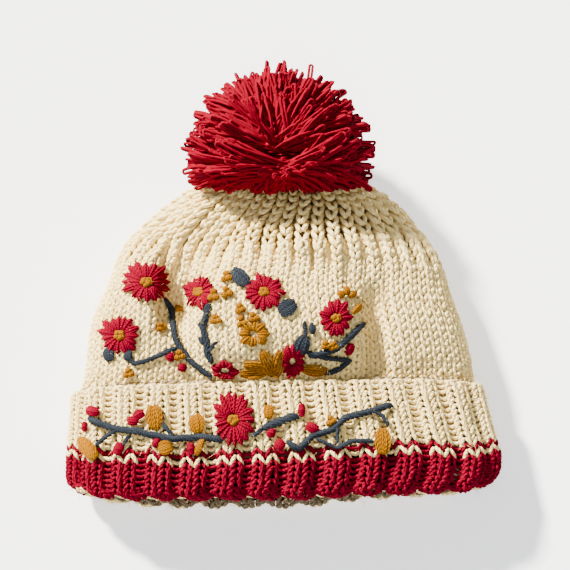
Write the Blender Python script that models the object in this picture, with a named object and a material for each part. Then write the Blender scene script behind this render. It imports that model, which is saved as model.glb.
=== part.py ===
"""Hand-knitted bobble beanie with an embroidered front, lying on its back.

The hat is modelled in metres with +Z up. X runs across it, and Y runs from the folded edge of the
cuff towards the pompom. The origin is on the flat underside of the crown, where the hat rests.
Working positions count Y from the folded edge, and finish() moves them to the origin.
"""
import math

import bmesh
import bpy
import numpy as np
from mathutils import Vector
from mathutils.bvhtree import BVHTree

# Overall sizes of the lying hat, in metres
CUFF_WIDTH = 0.240
CUFF_HEIGHT = 0.065
CUFF_THICKNESS = 0.0455
CROWN_WIDTH = 0.213
CROWN_LENGTH = 0.1815
CROWN_THICKNESS = 0.050
ORIGIN_FROM_FOLD = 0.112

# Knitted walls
CROWN_WALL = 0.0040
CUFF_WALL = 0.0035
RIB_RELIEF = 0.0022
RIB_COUNT = 27
LAYER_GAP = 0.0009
LIP_LENGTH = 0.0080
SEAM_GAP = 0.0004

# Gathers where the crown is drawn together under the pompom
GATHER_COUNT = 20
GATHER_DEPTH = 0.0030
GATHER_START = 0.115

# Pompom: a head of yarn locks over the gathered end
POMPOM_WIDTH = 0.105
POMPOM_REACH = 0.074
POMPOM_HEIGHT = 0.083
POMPOM_OVERHANG = 0.0125
POMPOM_TIE = 0.0060
POMPOM_BACK_FLATNESS = 0.45
OVERHANG_LEVEL = 0.0450
OVERHANG_RISE = 0.0120
LOCK_LENGTH = 0.0125
LOCK_UNEVENNESS = 0.0028
LOCK_TAPER = 0.55
ROOT_DEPTH = 0.0040
SEAT_GAP = 0.0004

# Raised embroidery
PETAL_HEIGHT = 0.0022
HEART_HEIGHT = 0.0018
HEART_RADIUS = 0.0040
SKIN_GAP = 0.0005
PETAL_COUNT = 8
PETAL_WAIST = 0.74
HEART_LOBES = 4

# Fineness of the skins, as faces around
CROWN_FACES = 80
LINING_FACES = 40
CUFF_FACES = 4 * RIB_COUNT

# Where rings lie on the cuff's height, for the cuff and for the crown inside it
CUFF_STEPS = (0.30, 0.60)
LINING_CHANGE = 0.40

# The same on what is left of the crown's length above the cuff
CROWN_STEPS = (0.05, 0.12, 0.20, 0.28, 0.36, 0.44, 0.52, 0.60, 0.68, 0.75, 0.82, 0.88, 0.93, 0.965, 0.99)

# Shape of a cross-section: how boxy its upper and lower halves are, and how high its side lies
UPPER_POWER = 2.45
LOWER_POWER = 3.2
SIDE_LEVEL = 0.34
FLAT_PRESS = 0.0016

# The cuff's outline: along its height, left and right of the middle as shares of half CUFF_WIDTH,
# and its top as a share of CUFF_THICKNESS
CUFF_OUTLINE = (
    # along, left, right, top
    (0.00, 0.968, 0.968, 0.905),
    (0.12, 0.972, 1.012, 0.930),
    (0.28, 0.972, 1.028, 0.955),
    (0.60, 0.962, 0.990, 0.985),
    (1.00, 0.956, 0.952, 1.000),
)

# The crown's outline above the cuff: along what is left of its length, left and right as shares of
# half CROWN_WIDTH, top and lift as shares of CROWN_THICKNESS
CROWN_OUTLINE = (
    # along, left, right, top, lift
    (0.055, 0.996, 1.004, 0.870, 0.085),
    (0.170, 0.984, 0.984, 0.935, 0.010),
    (0.290, 0.971, 0.950, 0.975, 0.000),
    (0.410, 0.928, 0.906, 0.980, 0.000),
    (0.530, 0.873, 0.874, 0.950, 0.000),
    (0.645, 0.815, 0.808, 0.895, 0.000),
    (0.705, 0.750, 0.755, 0.860, 0.015),
    (0.770, 0.680, 0.700, 0.825, 0.050),
    (0.830, 0.602, 0.655, 0.795, 0.110),
    (0.890, 0.515, 0.577, 0.755, 0.190),
    (0.945, 0.425, 0.480, 0.705, 0.290),
    (0.985, 0.250, 0.275, 0.640, 0.410),
    (1.000, 0.060, 0.060, 0.560, 0.510),
)

# Creases pressed into the upper layer. Across is a share of half CROWN_WIDTH, along a share of
# CROWN_LENGTH, depth a share of CROWN_THICKNESS, and reach the crease's half width as a share of
# CROWN_WIDTH
CREASES = {
    "left_valley": (
        # across, along, depth, reach
        (-0.17, 0.925, 0.050, 0.025),
        (-0.25, 0.855, 0.110, 0.032),
        (-0.39, 0.740, 0.175, 0.040),
        (-0.47, 0.620, 0.215, 0.043),
        (-0.475, 0.520, 0.190, 0.040),
        (-0.44, 0.440, 0.140, 0.036),
        (-0.34, 0.375, 0.090, 0.030),
    ),
    "right_crescent": (
        (0.16, 0.700, 0.045, 0.022),
        (0.33, 0.655, 0.110, 0.027),
        (0.45, 0.585, 0.145, 0.030),
        (0.49, 0.500, 0.145, 0.030),
        (0.46, 0.420, 0.135, 0.030),
        (0.37, 0.367, 0.100, 0.028),
    ),
    "above_cuff": (
        (-0.62, 0.372, 0.030, 0.022),
        (-0.30, 0.368, 0.080, 0.026),
        (0.05, 0.366, 0.085, 0.026),
        (0.40, 0.368, 0.070, 0.026),
        (0.80, 0.372, 0.020, 0.022),
    ),
    "left_pucker": (
        (-0.60, 0.560, 0.030, 0.022),
        (-0.76, 0.545, 0.045, 0.026),
        (-0.90, 0.560, 0.020, 0.022),
    ),
    "right_pucker": (
        (0.74, 0.395, 0.035, 0.022),
        (0.93, 0.405, 0.030, 0.022),
    ),
}

# Soft swells between the creases, in the same shares
SWELLS = (
    # across, along, height, reach across and along
    (0.02, 0.500, 0.050, 0.36, 0.120),
    (-0.70, 0.600, 0.030, 0.22, 0.120),
    (0.66, 0.700, 0.020, 0.22, 0.130),
)

# How far the folded edge lies back from the front of the hat, as shares of CUFF_HEIGHT: the upper
# layer, the lower layer, and both at the rounded side corners
EDGE_SETBACK = (
    # across, upper, lower
    (-1.00, 0.150, 0.150),
    (-0.93, 0.060, 0.075),
    (-0.82, 0.010, 0.045),
    (-0.55, 0.000, 0.005),
    (0.10, 0.000, 0.000),
    (0.35, 0.030, 0.060),
    (0.80, 0.055, 0.110),
    (0.94, 0.075, 0.120),
    (1.00, 0.170, 0.170),
)
CUFF_TOP_TILT = 0.0022

# Embroidered flowers on the upper side. Across is a share of half CROWN_WIDTH, along a share of
# CROWN_LENGTH, and the radii are shares of CROWN_WIDTH
DAISIES = (
    # name, across, along, radius across, radius along, has a gold heart
    ("red_daisy_left_high", -0.674, 0.642, 0.062, 0.058, True),
    ("red_daisy_left_low", -0.805, 0.481, 0.054, 0.054, True),
    ("red_daisy_valley", -0.372, 0.612, 0.042, 0.044, True),
    ("red_daisy_middle", -0.067, 0.614, 0.052, 0.052, True),
    ("red_daisy_right", 0.297, 0.530, 0.047, 0.050, True),
    ("red_daisy_shaded", 0.088, 0.400, 0.034, 0.034, False),
    ("gold_daisy", -0.060, 0.400, 0.034, 0.034, False),
)
CUFF_DAISY = ("red_daisy_cuff", -0.222, 0.219, 0.056, 0.078, True)

CREAM = (0.86, 0.78, 0.60)
RED = (0.62, 0.012, 0.035)
GOLD = (0.60, 0.26, 0.03)

STACK = LAYER_GAP + CUFF_WALL + RIB_RELIEF
CROWN_START = LIP_LENGTH + SEAM_GAP
SAMPLES = 720


def steady_curve(places, values, at):
    """A smooth curve through a table's values that never runs past them between two rows."""
    places = np.asarray(places, float)
    values = np.asarray(values, float)
    at = np.clip(at, places[0], places[-1])
    steps = np.diff(places)
    slopes = np.diff(values) / steps
    tangents = np.zeros(len(places))
    same_way = slopes[:-1] * slopes[1:] > 0
    pair = slopes[:-1] + slopes[1:]
    tangents[1:-1][same_way] = 2 * slopes[:-1][same_way] * slopes[1:][same_way] / pair[same_way]
    tangents[0] = slopes[0]
    tangents[-1] = slopes[-1]
    row = np.clip(np.searchsorted(places, at, side="right") - 1, 0, len(steps) - 1)
    width = steps[row]
    t = (at - places[row]) / width
    return (
        (1 + 2 * t) * (1 - t) ** 2 * values[row]
        + t * (1 - t) ** 2 * width * tangents[row]
        + t**2 * (3 - 2 * t) * values[row + 1]
        + t**2 * (t - 1) * width * tangents[row + 1]
    )


def outline_rows():
    """The crown's own outline over its whole length: under the cuff it is the cuff's less its wall."""
    rows = []
    for along, left, right, top in CUFF_OUTLINE:
        rows.append(
            (
                along * CUFF_HEIGHT,
                left * CUFF_WIDTH / 2 - STACK,
                right * CUFF_WIDTH / 2 - STACK,
                top * CUFF_THICKNESS - STACK,
                STACK,
            )
        )
    rest = CROWN_LENGTH - CUFF_HEIGHT
    for along, left, right, top, lift in CROWN_OUTLINE:
        rows.append(
            (
                CUFF_HEIGHT + along * rest,
                left * CROWN_WIDTH / 2,
                right * CROWN_WIDTH / 2,
                top * CROWN_THICKNESS,
                lift * CROWN_THICKNESS,
            )
        )
    return np.array(rows)


OUTLINE = outline_rows()


def outline_at(y):
    """Left and right half widths, top and underside of the crown's outer skin at y."""
    return [float(steady_curve(OUTLINE[:, 0], OUTLINE[:, k], y)) for k in range(1, 5)]


def press_of_crease(rows, x, y):
    """How deep one crease presses at the points x, y."""
    rows = np.asarray(rows, float)
    path = np.column_stack([rows[:, 0] * CROWN_WIDTH / 2, rows[:, 1] * CROWN_LENGTH])
    deepest = np.zeros(len(x))
    for k in range(len(path) - 1):
        leg = path[k + 1] - path[k]
        share = ((x - path[k, 0]) * leg[0] + (y - path[k, 1]) * leg[1]) / (leg @ leg)
        share = np.clip(share, 0, 1)
        away = np.hypot(x - path[k, 0] - share * leg[0], y - path[k, 1] - share * leg[1])
        depth = (rows[k, 2] + share * (rows[k + 1, 2] - rows[k, 2])) * CROWN_THICKNESS
        reach = (rows[k, 3] + share * (rows[k + 1, 3] - rows[k, 3])) * CROWN_WIDTH
        deepest = np.maximum(deepest, depth * np.exp(-((away / reach) ** 2)))
    return deepest


def sink_at(x, y):
    """How far the upper layer lies below its plain outline: creases less swells."""
    sink = np.zeros(len(x))
    for rows in CREASES.values():
        sink = sink + press_of_crease(rows, x, y)
    for across, along, height, wide, deep in SWELLS:
        off_x = (x - across * CROWN_WIDTH / 2) / (wide * CROWN_WIDTH / 2)
        off_y = (y - along * CROWN_LENGTH) / (deep * CROWN_LENGTH)
        sink = sink - height * CROWN_THICKNESS * np.exp(-(off_x**2) - off_y**2)
    clear_of_cuff = np.clip((y - CUFF_HEIGHT + CUFF_WALL) / (3 * CUFF_WALL), 0, 1)
    return sink * clear_of_cuff


def evenly_spaced(points, count):
    """Points on a closed curve at equal distances, from its first point."""
    closed = np.vstack([points, points[:1]])
    run = np.concatenate([[0], np.cumsum(np.linalg.norm(np.diff(closed, axis=0), axis=1))])
    at = np.arange(count) * run[-1] / count
    return np.column_stack([np.interp(at, run, closed[:, k]) for k in range(closed.shape[1])])


def section(y, offset, count, shown_at=None):
    """One ring round the hat at y, offset outwards from the crown's outer skin.

    It starts at the middle of the underside and runs by the right side and the top to the left.
    offset is one number or one for each point. shown_at is where the ring lies along the hat, if
    that isn't y.
    """
    left, right, top, lift = outline_at(y)
    side = lift + SIDE_LEVEL * (top - lift)
    turn = np.linspace(-math.pi / 2, 3 * math.pi / 2, SAMPLES, endpoint=False)
    across = np.sign(np.cos(turn)) * np.abs(np.cos(turn)) ** (2 / UPPER_POWER)
    above = np.clip(np.sin(turn), 0, 1) ** (2 / UPPER_POWER)
    below = np.clip(-np.sin(turn), 0, 1) ** (2 / LOWER_POWER)
    mean_offset = float(np.mean(offset))
    half = np.where(across < 0, left, right) + mean_offset
    x = half * across
    z = side + (top - side + mean_offset) * above
    z = np.where(below > 0, side - (side - lift + mean_offset + FLAT_PRESS) * below, z)
    z = np.maximum(z, lift - mean_offset)
    ring = evenly_spaced(np.column_stack([x, z, across, above]), count)
    if np.ndim(offset):
        ahead = np.roll(ring[:, :2], -1, axis=0) - np.roll(ring[:, :2], 1, axis=0)
        outward = np.column_stack([ahead[:, 1], -ahead[:, 0]])
        outward = outward / np.linalg.norm(outward, axis=1)[:, None]
        ring[:, :2] += outward * (np.asarray(offset) - mean_offset)[:, None]
        ring[:, 1] = np.maximum(ring[:, 1], lift - np.asarray(offset))
    x, z, across, above = ring.T
    along = np.full(count, y if shown_at is None else shown_at)
    z = z - sink_at(x, along) * above
    return np.column_stack([x, along + setback(across, above, along), z])


def setback(across, above, along):
    """How far a point near the folded edge lies back from the hat's front."""
    table = np.array(EDGE_SETBACK)
    upper = steady_curve(table[:, 0], table[:, 1], across)
    lower = steady_curve(table[:, 0], table[:, 2], across)
    share = np.where(above > 0, upper, lower)
    fade = np.clip(1 - along / CUFF_HEIGHT, 0, 1) ** 2
    tilt = CUFF_TOP_TILT * across * np.clip(along / CUFF_HEIGHT, 0, 1) * np.clip(
        (CROWN_LENGTH - along) / (CROWN_LENGTH - CUFF_HEIGHT), 0, 1
    )
    return share * CUFF_HEIGHT * fade + tilt


def wool(name, colour):
    material = bpy.data.materials.new(name)
    material.use_nodes = True
    shader = material.node_tree.nodes["Principled BSDF"]
    shader.inputs["Base Color"].default_value = (*colour, 1)
    shader.inputs["Roughness"].default_value = 0.9
    shader.inputs["Metallic"].default_value = 0
    return material


def finish(name, mesh_maker, material):
    """Makes the object from its bmesh, moves it to the hat's origin and shades it smooth."""
    for vert in mesh_maker.verts:
        vert.co.y -= ORIGIN_FROM_FOLD
    bmesh.ops.recalc_face_normals(mesh_maker, faces=mesh_maker.faces)
    mesh = bpy.data.meshes.new(name)
    mesh_maker.to_mesh(mesh)
    mesh_maker.free()
    mesh.materials.append(material)
    mesh.shade_smooth()
    mesh.set_sharp_from_angle(angle=math.radians(50))
    obj = bpy.data.objects.new(name, mesh)
    bpy.context.collection.objects.link(obj)
    return obj


def add_ring(shape, points):
    return [shape.verts.new(point) for point in points]


def bridge(shape, first, second):
    """Faces between two rings, where the first has as many points as the second or twice as many."""
    ratio = len(first) // len(second)
    count = len(second)
    for k in range(count):
        near = [first[(k * ratio + step) % len(first)] for step in range(ratio + 1)]
        far = [second[k], second[(k + 1) % count]]
        if ratio == 1:
            shape.faces.new([near[0], near[1], far[1], far[0]])
        else:
            shape.faces.new([near[0], near[1], far[0]])
            shape.faces.new([near[1], far[1], far[0]])
            shape.faces.new([near[1], near[2], far[1]])


def cap(shape, ring, point):
    """Closes a ring with a fan to one point."""
    tip = shape.verts.new(point)
    for k in range(len(ring)):
        shape.faces.new([ring[k], ring[(k + 1) % len(ring)], tip])


def gather_offset(y):
    """Pleats of the outer skin near the drawn end, one value for each face round."""
    share = np.clip((y - GATHER_START) / (CROWN_LENGTH - GATHER_START), 0, 1)
    turns = np.arange(CROWN_FACES) / CROWN_FACES * GATHER_COUNT
    return -GATHER_DEPTH * share * (3 - 2 * share) * share * (0.5 - 0.5 * np.cos(2 * math.pi * turns))


def crown_rows():
    """Where the outer skin's rings lie: close together at the cuff's edge and at the drawn end."""
    low = [CROWN_START, *(step * CUFF_HEIGHT for step in CUFF_STEPS), CUFF_HEIGHT]
    rest = CROWN_LENGTH - CUFF_HEIGHT
    return low + [CUFF_HEIGHT + step * rest for step in CROWN_STEPS]


def end_point(back):
    """The middle of the drawn end, set back into the wall for the lining."""
    top, lift = outline_at(CROWN_LENGTH)[2:]
    return (0, CROWN_LENGTH - back, (top + lift) / 2)


def make_crown():
    shape = bmesh.new()
    rings = [add_ring(shape, section(y, gather_offset(y), CROWN_FACES)) for y in crown_rows()]
    for first, second in zip(rings, rings[1:]):
        bridge(shape, first, second)
    cap(shape, rings[-1], end_point(0))
    scale = (CROWN_LENGTH - CROWN_WALL - CROWN_START) / (CROWN_LENGTH - CROWN_START)
    lining = []
    for y in crown_rows()[:-2]:
        shown_at = CROWN_START + (y - CROWN_START) * scale
        count = CROWN_FACES if y < LINING_CHANGE * CUFF_HEIGHT else LINING_FACES
        lining.append(add_ring(shape, section(y, -CROWN_WALL, count, shown_at)))
    for first, second in zip(lining, lining[1:]):
        bridge(shape, first, second)
    cap(shape, lining[-1], end_point(CROWN_WALL))
    bridge(shape, rings[0], lining[0])
    return finish("crown", shape, wool("cream_wool", CREAM))


def cuff_profile():
    """The cuff's section as (along, offset from the crown's outer skin, share of the rib relief).

    Its outer wall runs down to the folded edge and turns into a lip that meets the crown's end.
    """
    skin = LAYER_GAP + CUFF_WALL
    heights = [CROWN_START, *(step * CUFF_HEIGHT for step in CUFF_STEPS)]
    turned = 0.55 * CUFF_WALL
    shoulder = 0.2 * CUFF_WALL
    return (
        (CUFF_HEIGHT, LAYER_GAP, 0),
        (CUFF_HEIGHT, skin, 0.7),
        *((height, skin, 1) for height in reversed(heights)),
        (turned, skin - shoulder, 0.8),
        (0, (skin - CROWN_WALL) / 2, 0),
        (turned, shoulder - CROWN_WALL, 0),
        (LIP_LENGTH, -CROWN_WALL, 0),
        (LIP_LENGTH, 0, 0),
        (CUFF_WALL, 0, 0),
        (CUFF_WALL, LAYER_GAP, 0),
        *((height, LAYER_GAP, 0) for height in heights),
    )


def make_cuff():
    """Two knit columns stand proud and two sink in, all the way round."""
    rib = np.tile([1.0, 1.0, 0.0, 0.0], RIB_COUNT)
    shape = bmesh.new()
    rings = []
    for along, offset, share in cuff_profile():
        relief = RIB_RELIEF * share * rib if share else 0
        rings.append(add_ring(shape, section(along, offset + relief, CUFF_FACES)))
    for first, second in zip(rings, rings[1:] + rings[:1]):
        bridge(shape, first, second)
    return finish("cuff", shape, wool("cuff_wool", CREAM))


def wobble(key, amount):
    """A repeatable uneven value within plus or minus amount, different for each key."""
    return amount * (2 * (math.sin(key * 12.9898 + 4.1) * 43758.5453 % 1.0) - 1)


def back_limit(z):
    """How near the fold the pompom reaches at height z: over the crown's end it hangs forwards."""
    share = min(max((z - OVERHANG_LEVEL) / OVERHANG_RISE, 0), 1)
    return CROWN_LENGTH + SEAT_GAP - share * POMPOM_OVERHANG


def pompom_place(way, less):
    """The point of the pompom's outer form in one direction, less a depth all over.

    Its far side is a round dome. The side at the crown is flat and nearly as wide.
    """
    wide = POMPOM_WIDTH / 2 - less
    high = POMPOM_HEIGHT / 2 - less
    ring = math.hypot(way.x, way.z)
    if way.y < 0:
        spread = ring ** (POMPOM_BACK_FLATNESS - 1) if ring > 0 else 0
        reach = POMPOM_OVERHANG + POMPOM_TIE - less
    else:
        spread = 1
        reach = POMPOM_REACH - POMPOM_OVERHANG - POMPOM_TIE - less
    centre = Vector((0, CROWN_LENGTH + POMPOM_TIE, POMPOM_HEIGHT / 2))
    return centre + Vector((way.x * spread * wide, way.y * reach, way.z * spread * high))


def make_pompom():
    """A head whose faces are each drawn out into a tapered lock, fused at their roots."""
    shape = bmesh.new()
    bmesh.ops.create_icosphere(shape, subdivisions=3, radius=1)
    faces = list(shape.faces)
    ways = [face.calc_center_median().normalized() for face in faces]
    for vert in shape.verts:
        place = pompom_place(vert.co.normalized(), LOCK_LENGTH)
        place.y = max(place.y, back_limit(place.z - ROOT_DEPTH) + ROOT_DEPTH)
        vert.co = place
    tips = bmesh.ops.extrude_discrete_faces(shape, faces=faces)["faces"]
    for number, (face, way) in enumerate(zip(tips, ways)):
        middle = face.calc_center_median()
        goal = pompom_place(way, wobble(number, LOCK_UNEVENNESS))
        for vert in face.verts:
            place = goal + (vert.co - middle) * LOCK_TAPER
            place.z = max(place.z, 0)
            place.y = max(place.y, back_limit(place.z))
            vert.co = place
    return finish("pompom", shape, wool("pompom_wool", RED))


def seat_finder(objects):
    """A function that gives the highest place of these objects near a point, from above."""
    trees = []
    for obj in objects:
        shape = bmesh.new()
        shape.from_mesh(obj.data)
        trees.append(BVHTree.FromBMesh(shape))
        shape.free()
    spread = 0.0015

    def height(x, y):
        highest = 0.0
        for step_x in (-spread, 0, spread):
            for step_y in (-spread, 0, spread):
                start = Vector((x + step_x, y + step_y - ORIGIN_FROM_FOLD, 1))
                for tree in trees:
                    hit = tree.ray_cast(start, Vector((0, 0, -1)))[0]
                    if hit is not None:
                        highest = max(highest, hit.z)
        return highest

    return height


def raised_disc(name, height_at, middle, radii, lobes, thickness, material):
    """A low pad that follows what it lies on, with a lobed edge and a rounded top."""
    count = 2 * lobes
    shape = bmesh.new()

    def ring(share, lift, waist):
        points = []
        for k in range(count):
            angle = 2 * math.pi * k / count
            reach = share * (1 if k % 2 == 0 else waist)
            x = middle[0] + radii[0] * reach * math.cos(angle)
            y = middle[1] + radii[1] * reach * math.sin(angle)
            points.append((x, y, height_at(x, y) + SKIN_GAP + lift))
        return points

    base = height_at(*middle) + SKIN_GAP
    outer_low = add_ring(shape, ring(1, 0, PETAL_WAIST))
    inner_low = add_ring(shape, ring(0.5, 0, 1))
    outer_high = add_ring(shape, ring(1, 0.6 * thickness, PETAL_WAIST))
    inner_high = add_ring(shape, ring(0.5, thickness, 1))
    cap(shape, inner_low, (middle[0], middle[1], base))
    bridge(shape, inner_low, outer_low)
    bridge(shape, outer_low, outer_high)
    bridge(shape, outer_high, inner_high)
    cap(shape, inner_high, (middle[0], middle[1], base + thickness))
    return finish(name, shape, material)


def make_daisies(height_at):
    red = wool("red_thread", RED)
    gold = wool("gold_thread", GOLD)
    for name, across, along, wide, tall, has_heart in (*DAISIES, CUFF_DAISY):
        middle = (across * CROWN_WIDTH / 2, along * CROWN_LENGTH)
        radii = (wide * CROWN_WIDTH, tall * CROWN_WIDTH)
        thread = gold if name.startswith("gold") else red
        petals = raised_disc(name, height_at, middle, radii, PETAL_COUNT, PETAL_HEIGHT, thread)
        if has_heart:
            raised_disc(
                name.replace("red_daisy", "heart"),
                seat_finder([petals]),
                middle,
                (HEART_RADIUS, HEART_RADIUS),
                HEART_LOBES,
                HEART_HEIGHT,
                gold,
            )


for old in list(bpy.data.objects):
    bpy.data.objects.remove(old, do_unlink=True)

crown = make_crown()
cuff = make_cuff()
make_pompom()
make_daisies(seat_finder([crown, cuff]))
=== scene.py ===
"""Embroidered bobble beanie: chunky wool knit, a turned-up rib, a yarn pompom and raised stitches.

Lengths are metres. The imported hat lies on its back, with +X across it, +Y from the cuff's folded
edge to the pompom and +Z up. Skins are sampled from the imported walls. Stitches, threads, loops and
fibres are strands of yarn, each kind modelled once and laid again along paths on those skins.
"""
import math

import bpy
import numpy as np
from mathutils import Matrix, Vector
from mathutils.bvhtree import BVHTree
from mathutils.kdtree import KDTree


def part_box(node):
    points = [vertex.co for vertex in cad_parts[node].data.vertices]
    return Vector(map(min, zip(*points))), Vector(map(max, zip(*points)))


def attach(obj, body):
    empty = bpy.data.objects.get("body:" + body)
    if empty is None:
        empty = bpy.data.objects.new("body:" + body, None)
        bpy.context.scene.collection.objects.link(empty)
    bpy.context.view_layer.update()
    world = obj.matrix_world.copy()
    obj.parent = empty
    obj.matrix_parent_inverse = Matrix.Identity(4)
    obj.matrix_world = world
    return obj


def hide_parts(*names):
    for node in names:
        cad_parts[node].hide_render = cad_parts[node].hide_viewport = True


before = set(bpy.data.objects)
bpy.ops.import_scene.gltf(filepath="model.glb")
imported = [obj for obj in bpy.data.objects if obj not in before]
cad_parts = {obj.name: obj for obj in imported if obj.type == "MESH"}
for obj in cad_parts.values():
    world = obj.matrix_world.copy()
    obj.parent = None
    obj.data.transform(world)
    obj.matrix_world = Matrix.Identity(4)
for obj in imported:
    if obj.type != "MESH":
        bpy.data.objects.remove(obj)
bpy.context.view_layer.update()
dice = np.random.default_rng(83)

MM = 0.001

# The knit: columns round the hat and rows of stitches, the yarns' radii, a column's width in yarn
# radii, the least and most that its yarn is scaled, and the columns in a rib
CROWN_COLUMNS = 80
CROWN_ROWS = 34
CUFF_COLUMNS = 108
CUFF_ROWS = 28
CROWN_YARN = 1.27 * MM
CUFF_YARN = 1.36 * MM
YARNS_ACROSS = 4.5
YARN_SCALES = (0.42, 1.15)
RIB = 4

# The skins: samples a column and a row, and how far the wall is drawn in below the stitches
CROWN_SAMPLES = 4
CUFF_SAMPLES = 6
ROW_SAMPLES = 4
CROWN_INSET = 1.0 * MM
CUFF_INSET = 2.9 * MM

# A wall's vertices this far below the skin or deeper are its inside, which stays where it is
INSIDE_DEPTH = 3.4 * MM
INSIDE_BLEND = 1.2 * MM

# Where the crown's skin starts from the fold, its end's margin, the step between its rings, and
# how its longer columns take up their length towards the gather
CROWN_FROM = 57 * MM
CROWN_MARGIN = 0.6 * MM
CROWN_STEP = 1.5 * MM
CROWN_BEND = 2.2

# The cuff's skin: where it is measured from the fold, the reach of its free edge from the fold,
# the rays for each column, the window that smooths its edges, its rings above and round the fold,
# and the rays that find the fold
CUFF_WIDE_AT = 20 * MM
CUFF_TRACED_AT = 16 * MM
FREE_EDGE_FROM = 55 * MM
FREE_EDGE_TO = 72 * MM
FREE_EDGE_STEP = 0.5 * MM
FREE_EDGE_MARGIN = 0.3 * MM
CUFF_RAYS = 6
EDGE_WINDOW = 19
CUFF_RINGS = 42
FOLD_RINGS = 13
FOLD_RAY = 9 * MM
NOSE_RAY = (30 * MM, 60 * MM)

# The cuff's fold: how deep its middle lies, how far behind its nose, the depths at which the nose
# is looked for, and how far its inside shows
FOLD_DEEP = 5.6 * MM
FOLD_BEHIND = 4.2 * MM
FOLD_TRIES = (2.5 * MM, 4.0 * MM, 5.5 * MM, 7.0 * MM)
INSIDE_SHOWN = 4 * MM

# The crown's top: its stitches are taken together in pairs and gathered into ropes, which grow to
# their uneven heights along the gather and are sunk a little. Stitches whose skin faces up more
# than FRONT_FACING go to the front pieces
TOP_COLUMNS = 42
TOP_FROM_ROW = 21
TOP_ROWS = 10
ROPE_HEIGHT = 7.4 * MM
ROPE_UNEVEN = (0.65, 1.3)
ROPE_SUNK = 0.27
FRONT_FACING = -0.15
GATHER_FROM = 116 * MM
GATHER_LENGTH = 32 * MM

# How deep a yarn's plies are drawn by its material
PLY_DEPTH = 0.7 * MM

# The purl side inside the hat, drawn by its material: a stitch's width and height, and its relief
PURL_COLUMN = 5.4 * MM
PURL_ROW = 3.8 * MM
PURL_DEPTH = 1.6 * MM

# How a rib is shaped: the share of a column that each of its two crest columns takes, and how
# deep the groove beside them is
RIB_CREST = 1.56
RIB_DEPTH = 2.6 * MM
RIB_UNEVEN = (0.85, 1.15)

# The cuff's colourwork, in rows from its free edge: the lone red row, the solid red rows, the rows
# whose furrows are dashed with cream, and where the inside starts, sooner on the underside
CAST_EDGE = 0.95
FIRST_RED_ROW = 11
SOLID_RED_FROM = 13
SOLID_RED_TO = 22
DASH_ROWS = (12, 21)
# From this row on, the stitches are the inside's, painted dark brown as shade
INSIDE_FROM = 24
BACK_SOONER = 2
DASH_SHARE = 0.5

# Soft swells and trenches of the crown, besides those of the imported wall, and the power that makes
# their edges steep
SWELLS = (
    # across, from the fold, height, reach across, reach along, in mm
    (-82.0, 112.0, 4.0, 15.0, 26.0),
    (-2.0, 97.0, 4.6, 48.0, 31.0),
    (-56.0, 122.0, -8.5, 9.5, 30.0),
    (54.0, 91.0, -5.2, 7.0, 25.0),
    (28.0, 146.0, 2.0, 26.0, 15.0),
)
SWELL_EDGE = 6

# Camera: as the photo was taken, one metre off and steeply from above the folded edge
PHOTO_SIZE = 570
CAMERA_DISTANCE = 1.0
CAMERA_ELEVATION = math.radians(74.25)
CAMERA_LENS = 113.7
SENSOR = 36.0
AIM_FROM_FOLD = 120 * MM
AIM_HEIGHT = 30 * MM
AIM_ACROSS = 3.9 * MM
PIXEL = SENSOR / (PHOTO_SIZE * CAMERA_LENS)

FOLD_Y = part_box("cuff")[0][1]
CROWN_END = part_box("crown")[1][1]
HOLLOW_HEIGHT = 24 * MM

# Rays that meet the hat squarely: how wide they start and aim, in half widths, and how high they
# start
RAYS_FROM_WIDE = 1.7
RAYS_TO_WIDE = 0.72
RAYS_FROM_HIGH = 90 * MM

# The pompom's tie, where its yarn loops spread from
TIE = np.array([0.0, CROWN_END + 9 * MM, 44 * MM])

# Strands stay this far above the floor
FLOOR_GAP = 0.05 * MM


# Objects and strands

def deselect():
    bpy.ops.object.select_all(action="DESELECT")


def read_places(mesh):
    places = np.empty(len(mesh.vertices) * 3, np.float32)
    mesh.vertices.foreach_get("co", places)
    return places.reshape(-1, 3).astype(float)


def write_places(mesh, places):
    mesh.vertices.foreach_set("co", places.astype(np.float32).ravel())


def mark(mesh, name, values):
    """A number on each vertex, which a material reads."""
    layer = mesh.attributes.new(name, "FLOAT", "POINT")
    layer.data.foreach_set("value", np.asarray(values, np.float32))


def triangles(mesh):
    mesh.calc_loop_triangles()
    corners = np.empty(len(mesh.loop_triangles) * 3, np.int32)
    mesh.loop_triangles.foreach_get("vertices", corners)
    return corners.reshape(-1, 3)


def tree_of(node_name):
    """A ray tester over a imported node."""
    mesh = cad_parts[node_name].data
    return BVHTree.FromPolygons(read_places(mesh).tolist(), triangles(mesh).tolist())


def cast(tree, starts, aims):
    """The first place hit between each start and its aim, as nan where nothing is hit."""
    found = np.full((len(starts), 3), np.nan)
    for row, (start, aim) in enumerate(zip(starts, aims)):
        way = Vector(aim) - Vector(start)
        hit = tree.ray_cast(Vector(start), way.normalized(), way.length)[0]
        if hit is not None:
            found[row] = hit
    return found


def strand_unit(sides, rings):
    """One strand of yarn: a sphere whose rings are laid along a path later."""
    deselect()
    bpy.ops.mesh.primitive_uv_sphere_add(segments=sides, ring_count=rings, radius=1)
    ball = bpy.context.object
    mesh = ball.data
    places = read_places(mesh)
    share = np.arccos(np.clip(-places[:, 2], -1, 1)) / math.pi
    corners = np.empty(len(mesh.loops), np.int32)
    mesh.loops.foreach_get("vertex_index", corners)
    starts = np.empty(len(mesh.polygons), np.int32)
    mesh.polygons.foreach_get("loop_start", starts)
    uv = np.empty(len(mesh.loops) * 2, np.float32)
    mesh.uv_layers.active.data.foreach_get("uv", uv)
    unit = {
        "ring": np.rint(share * rings).astype(int),
        "angle": np.arctan2(places[:, 1], places[:, 0]),
        "corners": corners,
        "starts": starts,
        "uv": uv,
    }
    bpy.data.objects.remove(ball, do_unlink=True)
    return unit


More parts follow.
